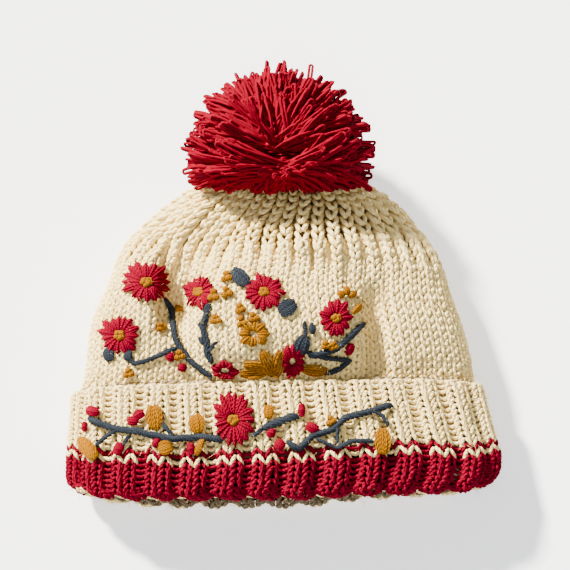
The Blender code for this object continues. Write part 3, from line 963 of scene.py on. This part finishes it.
def pixel_way(pixel):
    """The way from the camera through a photo pixel."""
    forward, upward, sideways = camera_ways()
    across = (pixel[0] - PHOTO_SIZE / 2) * PIXEL
    up = (PHOTO_SIZE / 2 - pixel[1]) * PIXEL
    return forward + across * sideways + up * upward


def on_plane(pixel, height):
    """The place at a height that lies under a photo pixel."""
    way = pixel_way(pixel)
    return EYE + way * (height - EYE[2]) / way[2]


# How far the knit's face stands above each skin, and where a ray that misses it is taken to end
CROWN_FACE = 1.5 * MM
CUFF_FACE = 2.0 * MM
MISSED_RAY = 0.985


class Fabric:
    """The knit's outer face, found through the photo's pixels."""

    def __init__(self, *layers):
        places, faces, base = [], [], 0
        for skin, face in layers:
            rows, count = skin.points.shape[:2]
            places.append((skin.points + skin.normals * face).reshape(-1, 3))
            index = base + np.arange(rows * count).reshape(rows, count)
            right = np.roll(index, -1, axis=1)
            quads = np.stack([index[:-1], right[:-1], right[1:], index[1:]], axis=-1)
            faces.append(quads.reshape(-1, 4))
            base += rows * count
        self.tree = BVHTree.FromPolygons(np.vstack(places).tolist(), np.vstack(faces).tolist())

    def at(self, pixels):
        """Places and outward normals under an array of photo pixels."""
        flat = np.asarray(pixels, float).reshape(-1, 2)
        places = np.empty((len(flat), 3))
        normals = np.empty((len(flat), 3))
        for k, pixel in enumerate(flat):
            way = Vector(pixel_way(pixel)).normalized()
            hit, normal, _, _ = self.tree.ray_cast(Vector(EYE), way)
            if hit is None:
                hit, normal, _, _ = self.tree.find_nearest(Vector(EYE) + way * MISSED_RAY)
            if normal.dot(way) > 0:
                normal = -normal
            places[k] = hit
            normals[k] = normal
        shape = np.asarray(pixels).shape[:-1] + (3,)
        return places.reshape(shape), normals.reshape(shape)


# Embroidery

THREAD_UNIT = strand_unit(6, 8)
THREAD_SHARE = grain_places(8)
THREAD_PROFILE = grain_profile(8)

# Thread radii in millimetres, and a stem stitch's length and pace in photo pixels
KNOT_THREAD = 0.95
BERRY_THREAD = 0.85
LEAF_THREAD = 0.62
STEM_THREAD = 0.68
STEM_STITCH = 13.0
STEM_PACE = 4.6


class Needlework:
    """Threads of one piece: gathered as pixel paths with heights, then laid on the knit."""

    def __init__(self, fabric):
        self.fabric = fabric
        self.pixels, self.heights, self.radii, self.tones = [], [], [], []

    def thread(self, pixels, radius, height, arch):
        """A thread through pixel points, lifted by its height and arched between its ends."""
        pixels = np.asarray(pixels, float)
        steps = np.linalg.norm(np.diff(pixels, axis=0), axis=1)
        run = np.concatenate([[0], np.cumsum(steps)]) / max(steps.sum(), 1e-9)
        at = np.column_stack([np.interp(THREAD_SHARE, run, pixels[:, k]) for k in range(2)])
        self.pixels.append(at)
        lift = height + arch * np.sin(math.pi * THREAD_SHARE) - 0.6 * radius * (1 - THREAD_PROFILE)
        self.heights.append(lift)
        self.radii.append(radius * THREAD_PROFILE)
        self.tones.append(dice.random())

    def lay(self, name, material, replaced=None):
        places, normals = self.fabric.at(np.array(self.pixels))
        smooth = normals.mean(axis=1, keepdims=True)
        normals = unit_length(0.35 * normals + 0.65 * smooth)
        lift = np.array(self.heights)[..., None] * MM
        radii = np.array(self.radii) * MM
        piece = lay_strands(name, THREAD_UNIT, places + normals * lift, normals, radii,
                            self.tones, material)
        if replaced:
            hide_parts(replaced)
        return piece


def turned_to(angle):
    return np.array([math.cos(angle), math.sin(angle)])


def petals(work, centre, reach, count, inner=0.2, radius=0.82):
    """A ring of satin petals: three threads each, spread at the middle and joined at the tip."""
    centre = np.array(centre, float)
    reach = np.array(reach, float)
    for k in range(count):
        angle = 2 * math.pi * (k + dice.normal(0, 0.10)) / count
        length = dice.uniform(0.84, 1.08)
        spread = 0.37 * 2 * math.pi / count
        for side in (-1, 0, 1):
            start = centre + inner * reach * turned_to(angle + 2 * side * spread)
            middle = centre + 0.66 * length * reach * turned_to(angle + side * spread * 1.15)
            tip_length = length * (1.0 - 0.07 * abs(side))
            tip = centre + tip_length * reach * turned_to(angle + 0.38 * side * spread)
            lift = 0.35 + 0.45 * (1 - abs(side)) + dice.uniform(0, 0.3)
            work.thread([start, middle, tip], radius * dice.uniform(0.85, 1.1), lift, 0.75)


def knots(work, centre, reach, count):
    """Knots in a ring, close together: each is three short fat threads side by side."""
    centre = np.array(centre, float)
    for k in range(count):
        angle = math.pi * (2 * k / count + 0.1) + dice.uniform(-0.3, 0.3)
        middle = centre + reach * 0.52 * turned_to(angle)
        lean = 1.5 + dice.uniform(-0.5, 0.5)
        along = 0.42 * reach * turned_to(lean)
        across = 1.15 * np.array([-math.sin(lean), math.cos(lean)])
        for side in (-1, 0, 1):
            ends = [middle - along + side * across, middle + 1.6 * side * across,
                    middle + along + side * across]
            work.thread(ends, KNOT_THREAD, 0.9 - 0.3 * abs(side), 0.9)


def berry(work, centre, reach, angle):
    """A small satin berry: short fat threads side by side."""
    centre = np.array(centre, float)
    along = turned_to(angle) * reach[0]
    across = np.array([-math.sin(angle), math.cos(angle)]) * reach[1]
    count = max(4, int(round(reach[1] * 1.15)))
    for k in range(count):
        side = 1.5 * k / (count - 1) - 0.75
        half = along * math.sqrt(1 - 0.6 * side * side)
        start = centre - half + across * side
        end = centre + half + across * side
        height = 0.9 - 0.5 * abs(side)
        work.thread([start, centre + across * side * 1.1, end], BERRY_THREAD, height, height)


def leaf(work, base, tip, wide, threads=9):
    """A satin leaf: threads from base to tip, spread to its width at the middle."""
    base = np.array(base, float)
    tip = np.array(tip, float)
    along = tip - base
    across = np.array([-along[1], along[0]]) / max(np.linalg.norm(along), 1e-9) * wide / 2
    for k in range(threads):
        side = 2 * k / (threads - 1) - 1
        pull = dice.uniform(-0.04, 0.04)
        points = []
        for share in (0.0, 0.25, 0.5, 0.75, 1.0):
            bow = math.sin(math.pi * (0.12 + 0.76 * share)) ** 0.8
            points.append(base + along * (share + pull) + across * side * bow)
        rise = 0.5 + 0.35 * (1 - side * side) + dice.uniform(0, 0.35)
        work.thread(points, LEAF_THREAD * dice.uniform(0.85, 1.1), rise, 0.8)


def branch(work, points, wide):
    """A stem-stitched branch: slanted threads that overlap along a line."""
    wide = 0.88 * wide
    points = np.asarray(points, float)
    points = points + dice.normal(0, 0.7, points.shape)

    def on_line(at):
        return np.array([np.interp(at, run, points[:, axis]) for axis in range(2)])

    steps = np.linalg.norm(np.diff(points, axis=0), axis=1)
    run = np.concatenate([[0], np.cumsum(steps)])
    total = run[-1]
    count = max(int(total / STEM_PACE), 1)
    for k in range(count + 1):
        middle = total * k / count
        for side in (-1, 0, 1) if wide > 4.8 else (-0.6, 0.6):
            away = side * (wide / 2 - 1.5)
            path = []
            for share in (-0.5, -0.2, 0.2, 0.5):
                at = min(max(middle + share * STEM_STITCH + 1.5 * side, 0), total)
                way = on_line(min(at + 1, total)) - on_line(max(at - 1, 0))
                way = way / max(np.linalg.norm(way), 1e-9)
                slant = 0.8 * share * wide
                path.append(on_line(at) + np.array([-way[1], way[0]]) * (away + slant))
            if np.linalg.norm(np.array(path[0]) - path[-1]) > 2:
                lift = 0.45 + 0.4 * (1 - abs(side)) + dice.uniform(0, 0.3)
                work.thread(path, STEM_THREAD * dice.uniform(0.85, 1.15), lift, 0.5)


# Flowers, in photo pixels: centre, reach across and along, petals, and knots in the heart
FLOWERS = {
    # name: (centre x, centre y), (reach x, reach y), petals, heart name, heart reach
    "red_daisy_left_high": ((146.6, 283.0), (24.5, 22.5), 16, "heart_left_high", 5.0),
    "red_daisy_left_low": ((120.5, 335.0), (22.0, 22.0), 15, "heart_left_low", 5.0),
    "red_daisy_valley": ((200.0, 292.5), (17.0, 18.0), 13, "heart_valley", 4.6),
    "red_daisy_middle": ((264.0, 292.5), (21.5, 20.0), 16, "heart_middle", 4.6),
    "red_daisy_right": ((335.5, 318.5), (17.5, 20.0), 13, "heart_right", 4.2),
    "red_daisy_shaded": ((292.5, 361.0), (14.5, 18.0), 13, None, 0),
    "red_daisy_cuff": ((233.5, 420.4), (22.0, 31.0), 17, "heart_cuff", 5.6),
}
GOLD_KNOTS = (
    # x, y, reach
    (226.6, 277.6, 6.0), (213.8, 295.5, 6.5), (227.0, 293.0, 6.5), (216.4, 319.7, 5.5),
    (240.0, 309.0, 5.5), (242.0, 321.6, 6.0), (254.0, 317.8, 6.0), (160.4, 327.8, 5.0),
    (179.3, 355.8, 5.5), (128.8, 373.0, 5.5), (333.0, 346.0, 4.5), (326.0, 345.0, 4.5),
    (178.0, 309.0, 3.0), (330.5, 421.0, 5.5),
)
CROWN_BERRIES = (
    # x, y, reach along, reach across, angle
    (170.6, 356.8, 5.0, 3.8, 0.3), (182.3, 367.6, 4.5, 3.4, 0.2), (349.0, 349.0, 6.5, 3.5, -1.1),
)
CUFF_BERRIES = (
    (93.0, 411.5, 7.0, 4.5, 0.2), (85.5, 427.0, 2.4, 4.6, 0.0), (139.0, 415.0, 6.0, 4.2, -0.5),
    (133.0, 421.0, 6.0, 3.8, 0.1), (301.5, 410.6, 3.4, 6.5, 0.0), (312.4, 428.2, 7.5, 4.5, 0.4),
    (271.0, 433.0, 4.6, 4.2, 0.2), (280.0, 445.0, 5.6, 5.0, 0.6), (119.0, 449.0, 5.0, 6.5, 0.4),
    (156.0, 443.0, 3.5, 4.5, 0.5), (191.0, 449.0, 4.0, 6.0, -0.2),
)
GOLD_LEAVES_CUFF = (
    # base x, base y, tip x, tip y, width
    (156.0, 430.0, 153.5, 405.0, 16.0), (198.5, 434.0, 196.0, 414.5, 14.0),
    (97.0, 459.0, 80.0, 438.0, 13.0), (158.5, 450.0, 173.0, 446.0, 13.0),
    (196.0, 455.0, 204.0, 438.0, 6.0), (268.5, 419.0, 268.5, 405.0, 9.0),
    (383.0, 455.0, 382.0, 428.0, 15.0),
)
GOLD_LEAVES_CROWN = (
    (274.0, 376.0, 262.0, 350.0, 12.0), (274.0, 378.0, 282.0, 350.0, 12.0),
    (268.0, 372.0, 240.0, 373.0, 9.0), (270.0, 367.0, 243.0, 364.0, 8.0),
    (300.0, 368.0, 327.0, 371.0, 10.0), (344.0, 297.0, 337.0, 293.0, 5.0),
    (346.0, 296.0, 345.0, 287.0, 5.0), (348.0, 297.0, 355.0, 293.5, 5.0),
    (352.0, 314.0, 360.0, 305.0, 4.5),
)
LAZY_DAISY = ((253.5, 334.0), (17.0, 14.0), 8)
NAVY_LEAVES = (
    (111.0, 362.0, 108.5, 348.0, 9.0), (127.0, 361.0, 130.0, 351.0, 7.0),
    (231.5, 270.5, 249.0, 286.0, 13.0), (279.0, 313.0, 296.0, 303.0, 15.0),
    (297.0, 356.0, 306.0, 335.0, 14.0), (313.0, 334.0, 311.0, 323.0, 5.0),
)
CROWN_BRANCHES = (
    # points, width
    (((165, 300), (170, 310), (172, 322), (175, 335), (178, 347), (190, 360), (203, 371),
      (211, 376)), 5.6),
    (((128, 352), (134, 364), (150, 360), (167, 352), (177, 347)), 5.0),
    (((209, 305), (206, 318), (205, 330), (206, 342), (209, 353), (213, 364)), 5.6),
    (((199, 324), (204, 330)), 4.0), (((199, 339), (206, 344)), 4.0),
    (((217, 341), (209, 350)), 4.0),
    (((364, 323), (351, 336), (336, 349), (323, 353), (308, 355)), 5.6),
    (((306, 353), (327, 358), (351, 359)), 5.0), (((351, 359), (339, 369), (325, 374)), 5.0),
    (((305, 336), (305, 322)), 4.0),
)
CUFF_BRANCHES = (
    (((89, 419), (102, 424), (115, 429), (136, 431), (149, 435), (172, 439), (200, 438),
      (222, 440)), 6.2),
    (((115, 431), (105, 438), (96, 446)), 4.6), (((129, 436), (123, 446)), 4.2),
    (((163, 424), (175, 436)), 4.8), (((252, 437), (264, 428)), 4.6),
    (((262, 430), (276, 423), (297, 415)), 7.0),
    (((287, 443), (299, 447), (314, 436), (333, 428), (346, 418), (375, 411), (392, 404)), 6.0),
    (((374, 413), (382, 417), (388, 426)), 4.0), (((315, 438), (335, 447)), 4.0),
    (((335, 448), (352, 442), (374, 441)), 5.0), (((337, 428), (337, 445)), 3.6),
)
SMALL_RED_RING = ((225.0, 370.0), (14.0, 9.5), 7)


def make_embroidery(fabric):
    for name, (centre, reach, count, heart, heart_reach) in FLOWERS.items():
        work = Needlework(fabric)
        petals(work, centre, reach, count)
        work.lay(name + "_petals", RED_THREAD, name)
        if heart:
            work = Needlework(fabric)
            knots(work, centre, heart_reach, 5)
            work.lay(heart + "_knots", GOLD_THREAD, heart)
    work = Needlework(fabric)
    petals(work, *SMALL_RED_RING, inner=0.3, radius=0.95)
    for x, y, along, across, angle in CROWN_BERRIES + CUFF_BERRIES:
        berry(work, (x, y), (along, across), angle)
    work.lay("red_berries", RED_THREAD)
    work = Needlework(fabric)
    for x, y, reach in GOLD_KNOTS:
        knots(work, (x, y), reach, 3)
    petals(work, *LAZY_DAISY, inner=0.22, radius=0.85)
    for x0, y0, x1, y1, wide in GOLD_LEAVES_CUFF:
        leaf(work, (x0, y0), (x1, y1), wide)
    work.lay("gold_leaves_and_knots", GOLD_THREAD)
    work = Needlework(fabric)
    for x0, y0, x1, y1, wide in GOLD_LEAVES_CROWN:
        leaf(work, (x0, y0), (x1, y1), wide, threads=5)
    work.lay("gold_daisy_petals", GOLD_THREAD, "gold_daisy")
    work = Needlework(fabric)
    for x0, y0, x1, y1, wide in NAVY_LEAVES:
        leaf(work, (x0, y0), (x1, y1), wide)
    for points, wide in CROWN_BRANCHES:
        branch(work, points, wide)
    work.lay("navy_branches_crown", NAVY_THREAD)
    work = Needlework(fabric)
    for points, wide in CUFF_BRANCHES:
        branch(work, points, wide)
    work.lay("navy_branches_cuff", NAVY_THREAD)


# Pompom

LOOP_UNIT = strand_unit(4, 12)
FRONT_LOOPS = 1750
SKIRT_LOOPS = 420
BACK_LOOPS = 1250
LOOP_YARN = 0.9 * MM

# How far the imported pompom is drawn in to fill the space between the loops
CORE_SCALE = (0.78, 0.78, 0.66)

# Photo pixels and heights where the upper and lower front loops part, the skirt's left end, width
# and level in pixels, and the pixels of single loops that stand out
PARTING_HIGH = ((278.0, 152.0), 62 * MM)
PARTING_LOW = ((284.0, 171.0), 60 * MM)
SKIRT_LEFT = 188
SKIRT_WIDE = 182
SKIRT_LEVEL = 190
STRAY_LOOPS = ((267.0, 62.0), (284.5, 61.5), (311.5, 65.0), (371.0, 190.0), (183.0, 172.0))


def pompom_reach(tree, ways):
    """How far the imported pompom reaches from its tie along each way."""
    reach = np.empty(len(ways))
    for k, way in enumerate(ways):
        far = TIE + way * 0.15
        hit = tree.ray_cast(Vector(far), Vector(-way))[0]
        reach[k] = 0.02 if hit is None else np.linalg.norm(np.array(hit) - TIE)
    return reach


def loop_shape():
    """A loop's rings: how far out, and how far along and across its round end."""
    out = [0.0, 0.3, 0.62, 0.88]
    bend = np.radians([-90, -45, 0, 45, 90])
    along = np.array(out + [1.0] * 5 + out[::-1])
    ahead = np.array([0.0] * 4 + list(np.cos(bend)) + [0.0] * 4)
    across = np.array([-1.0] * 4 + list(np.sin(bend)) + [1.0] * 4)
    return along, ahead, across


def make_pompom_core():
    """The close-packed inside of the pompom: its packed form drawn in towards the tie, its red
    painted lighter than the loops as light between them.
    """
    core = merged_copy("pompom_core", "pompom", RED_CORE_PAINTED_LIGHT)
    write_places(core.data, TIE + (read_places(core.data) - TIE) * CORE_SCALE)
    core.data.update()


def lay_loops(name, roots, bends, tips, half):
    """Uncut loops of yarn: out from their roots, over their bends and round at their tips."""
    count = len(tips)
    along, ahead, across = loop_shape()
    heading = unit_length(tips - bends)
    side = unit_length(np.cross(heading, dice.normal(0, 1, tips.shape)))
    sway = unit_length(np.cross(heading, dice.normal(0, 1, tips.shape)))
    bow = dice.normal(0, 0.035, (count, 1)) * np.linalg.norm(tips - roots, axis=1, keepdims=True)
    ends = tips - heading * half[:, None]
    paths = np.empty((count, len(along), 3))
    for k, t in enumerate(along):
        middle = (1 - t) ** 2 * roots + 2 * t * (1 - t) * bends + t * t * ends
        opened = across[k] * (0.35 + 0.65 * math.sin(math.pi * min(0.15 + 0.85 * t, 1) * 0.5))
        paths[:, k] = middle + side * (half * opened)[:, None]
        paths[:, k] += heading * (half * ahead[k])[:, None]
        paths[:, k] += sway * bow * math.sin(math.pi * t)
    ups = np.repeat(np.cross(side, heading)[:, None], len(along), axis=1) + 1e-4
    radii = LOOP_YARN * even_profile(12)[None, :] * dice.uniform(0.85, 1.12, (count, 1))
    tones = dice.random(count)
    piece = lay_strands(name, LOOP_UNIT, paths, ups, radii, tones, RED_POMPOM)
    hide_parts("pompom")
    return paths


def pompom_tips(tree, count, low, high):
    """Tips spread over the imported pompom's form between two heights seen from the tie."""
    turn = dice.uniform(0, 2 * math.pi, 3 * count)
    rise = dice.uniform(low, high, 3 * count)
    ways = np.column_stack([np.cos(turn) * np.cos(rise), np.sin(turn) * np.cos(rise), np.sin(rise)])
    reach = pompom_reach(tree, ways)
    kept = dice.random(len(ways)) < np.clip(reach / (52 * MM), 0.15, 1) * np.cos(rise)
    ways, reach, turn = ways[kept][:count], reach[kept][:count], turn[kept][:count]
    full = dice.random(len(ways)) < 0.72
    short = np.where(full, dice.uniform(0.95, 1.02, len(ways)), dice.uniform(0.75, 0.95, len(ways)))
    return TIE + ways * (reach * short)[:, None], turn


def skirt_tips(count):
    """Tips along the pompom's level lower edge, from side to side."""
    share = dice.random(count)
    x = SKIRT_LEFT + SKIRT_WIDE * share
    y = SKIRT_LEVEL - 8 * np.abs(2 * share - 1) ** 3
    y = y + dice.normal(0, 2.2, count) - dice.exponential(3, count)
    height = (dice.uniform(38, 58, count) - 18 * np.abs(2 * share - 1) ** 2) * MM
    return np.array([on_plane(pixel, z) for pixel, z in zip(np.column_stack([x, y]), height)])


def make_pompom():
    """Loops that fan up from a parting at the front, lie level below it, and fill the back."""
    tree = tree_of("pompom")
    high_root = on_plane(*PARTING_HIGH)
    low_root = on_plane(*PARTING_LOW)
    tips, turn = pompom_tips(tree, FRONT_LOOPS, math.radians(-12), math.radians(50))
    skirt = skirt_tips(SKIRT_LOOPS)
    strays = np.array([on_plane(pixel, TIE[2]) for pixel in STRAY_LOOPS])
    low = np.concatenate([np.sin(turn) < math.sin(math.radians(7)), np.ones(len(skirt), bool),
                          [False, False, False, True, True]])
    tips = np.vstack([tips, skirt, strays])
    roots = np.where(low[:, None], low_root, high_root)
    roots = roots + dice.normal(0, 1, tips.shape) * np.array([4.5, 2.0, 1.6]) * MM
    flat = (tips - roots) * [1, 1, 0]
    level = np.where(low & (np.abs(flat[:, 0]) > 14 * MM), 0.2, 1.0)
    ones = np.ones(len(tips))
    bends = roots + 0.5 * flat * np.column_stack([ones, level, level])
    bends[:, 2] += dice.uniform(3, 14, len(tips)) * MM
    half = LOOP_YARN * dice.uniform(0.95, 1.3, len(tips))
    wide = dice.random(len(tips)) < 0.12
    half = np.where(wide, LOOP_YARN * dice.uniform(1.8, 3.0, len(tips)), half)
    front = lay_loops("pompom_loops_front", roots, bends, tips, half)
    tips, turn = pompom_tips(tree, BACK_LOOPS, math.radians(-60), math.radians(-6))
    roots = TIE - [0, 0, 12 * MM] + dice.normal(0, 2 * MM, tips.shape)
    bends = roots + 0.45 * (tips - roots) * [1, 1, 0]
    bends[:, 2] -= dice.uniform(0, 8, len(tips)) * MM
    half = LOOP_YARN * dice.uniform(0.95, 1.5, len(tips))
    back = lay_loops("pompom_loops_back", roots, bends, tips, half)
    return np.vstack([front, back])


# Fuzz

HAIR_UNIT = strand_unit(3, 3)
HAIR_SHARE = np.array([0.0, 0.33, 0.67, 1.0])
HAIR_PROFILE = np.array([1.0, 1.0, 0.8, 0.2])
HAIR_YARN = 0.09 * MM

# Fibres on the crown, the cuff's cream rows, its fold and inside, its red band, and the pompom
CROWN_HAIRS = 3960
CUFF_HAIRS = 1620
FOLD_HAIRS = 420
RED_BAND_HAIRS = 800
POMPOM_HAIRS = 1500


def hairs(bases, normals):
    """Fine fibres that stand off the yarn: their paths, ups and radii."""
    count = len(bases)
    loose = unit_length(dice.normal(0, 1, (count, 3)))
    ways = unit_length(loose + 0.35 * normals)
    curl = unit_length(dice.normal(0, 1, (count, 3)))
    length = dice.uniform(1.8, 5.5, count) * MM
    share = HAIR_SHARE[None, :, None]
    long = length[:, None, None]
    paths = bases[:, None] + ways[:, None] * long * share + curl[:, None] * 0.35 * long * share**2
    ups = np.repeat(unit_length(np.cross(ways, curl))[:, None], len(HAIR_SHARE), axis=1)
    radii = HAIR_YARN * HAIR_PROFILE[None, :] * dice.uniform(0.7, 1.3, (count, 1))
    return paths, ups, radii


def knit_hairs(skin, count, first, last):
    """Where fibres leave a skin, between two shares of its length."""
    places, normals = skin.at(dice.random(count), dice.uniform(first, last, count))
    return places + normals * 1.2 * MM, normals


def lay_hairs(name, bases, normals, material, slot):
    """Fibres in the lighter tones of their wool."""
    paths, ups, radii = hairs(bases, normals)
    tones = dice.random(len(paths)) * 0.4
    lay_strands(name, HAIR_UNIT, paths, ups, radii, tones, material)


def make_fuzz(crown, cuff, loops):
    """Loose fibres over the cream knit, the red band and the pompom."""
    rows = np.array([SOLID_RED_FROM, SOLID_RED_TO]) / CUFF_ROWS
    on_crown = knit_hairs(crown, CROWN_HAIRS, 0.06, 0.99)
    on_cuff = knit_hairs(cuff, CUFF_HAIRS, 0.0, rows[0])
    on_fold = knit_hairs(cuff, FOLD_HAIRS, rows[1], 0.99)
    bases = np.vstack([on_crown[0], on_cuff[0], on_fold[0]])
    normals = np.vstack([on_crown[1], on_cuff[1], on_fold[1]])
    lay_hairs("cream_fuzz", bases, normals, CREAM, "cream_wool")
    lay_hairs("red_band_fuzz", *knit_hairs(cuff, RED_BAND_HAIRS, *rows), RED, "red_wool")
    chosen = dice.integers(0, len(loops), POMPOM_HAIRS)
    ring = dice.integers(3, loops.shape[1] - 3, POMPOM_HAIRS)
    bases = loops[chosen, ring]
    lay_hairs("pompom_fuzz", bases, unit_length(bases - TIE), RED_POMPOM, "red_wool")


# Stage, light and camera

def make_camera():
    data = bpy.data.cameras.new("photo_camera")
    data.lens = CAMERA_LENS
    data.sensor_width = SENSOR
    camera = bpy.data.objects.new("photo_camera", data)
    bpy.context.collection.objects.link(camera)
    camera.location = EYE
    camera.rotation_euler = (math.pi / 2 - CAMERA_ELEVATION, 0, 0)
    bpy.context.scene.camera = camera


def make_sun(name, energy, colour, place, degrees):
    """A far lamp that shines from a place seen from the camera's aim, as wide as its angle."""
    data = bpy.data.lights.new(name, "SUN")
    data.energy = energy
    data.color = colour
    data.angle = math.radians(degrees)
    lamp = bpy.data.objects.new(name, data)
    bpy.context.collection.objects.link(lamp)
    lamp.location = Vector(AIM) + Vector(place)
    lamp.rotation_euler = (-Vector(place)).to_track_quat("-Z", "Y").to_euler()


def make_stage():
    """A pale floor that glows a little, a soft room and two lamps."""
    deselect()
    bpy.ops.mesh.primitive_plane_add(size=6, location=(0, 0, 0))
    floor = bpy.context.object
    floor.name = "floor"
    material = bpy.data.materials.new("pale_floor")
    material.use_nodes = True
    shader = material.node_tree.nodes["Principled BSDF"]
    shader.inputs["Base Color"].default_value = (0.95, 0.95, 0.95, 1)
    shader.inputs["Roughness"].default_value = 0.9
    shader.inputs["Emission Color"].default_value = (1, 1, 1, 1)
    shader.inputs["Emission Strength"].default_value = 1.0
    floor.data.materials.append(material)
    world = bpy.data.worlds.new("soft_room")
    world.use_nodes = True
    background = world.node_tree.nodes["Background"]
    background.inputs["Color"].default_value = (0.84, 0.89, 1.0, 1)
    background.inputs["Strength"].default_value = 0.56
    bpy.context.scene.world = world
    make_sun("window_sun", 23.0, (1.0, 0.95, 0.87), (-0.56, 0.60, 0.50), 6)
    make_sun("room_fill", 1.6, (0.95, 0.97, 1.0), (-0.15, -0.80, 0.60), 60)


make_camera()
crown = make_crown()
cuff = make_cuff()
make_embroidery(Fabric((crown, CROWN_FACE), (cuff, CUFF_FACE)))
make_pompom_core()
loops = make_pompom()
make_fuzz(crown, cuff, loops)
make_stage()
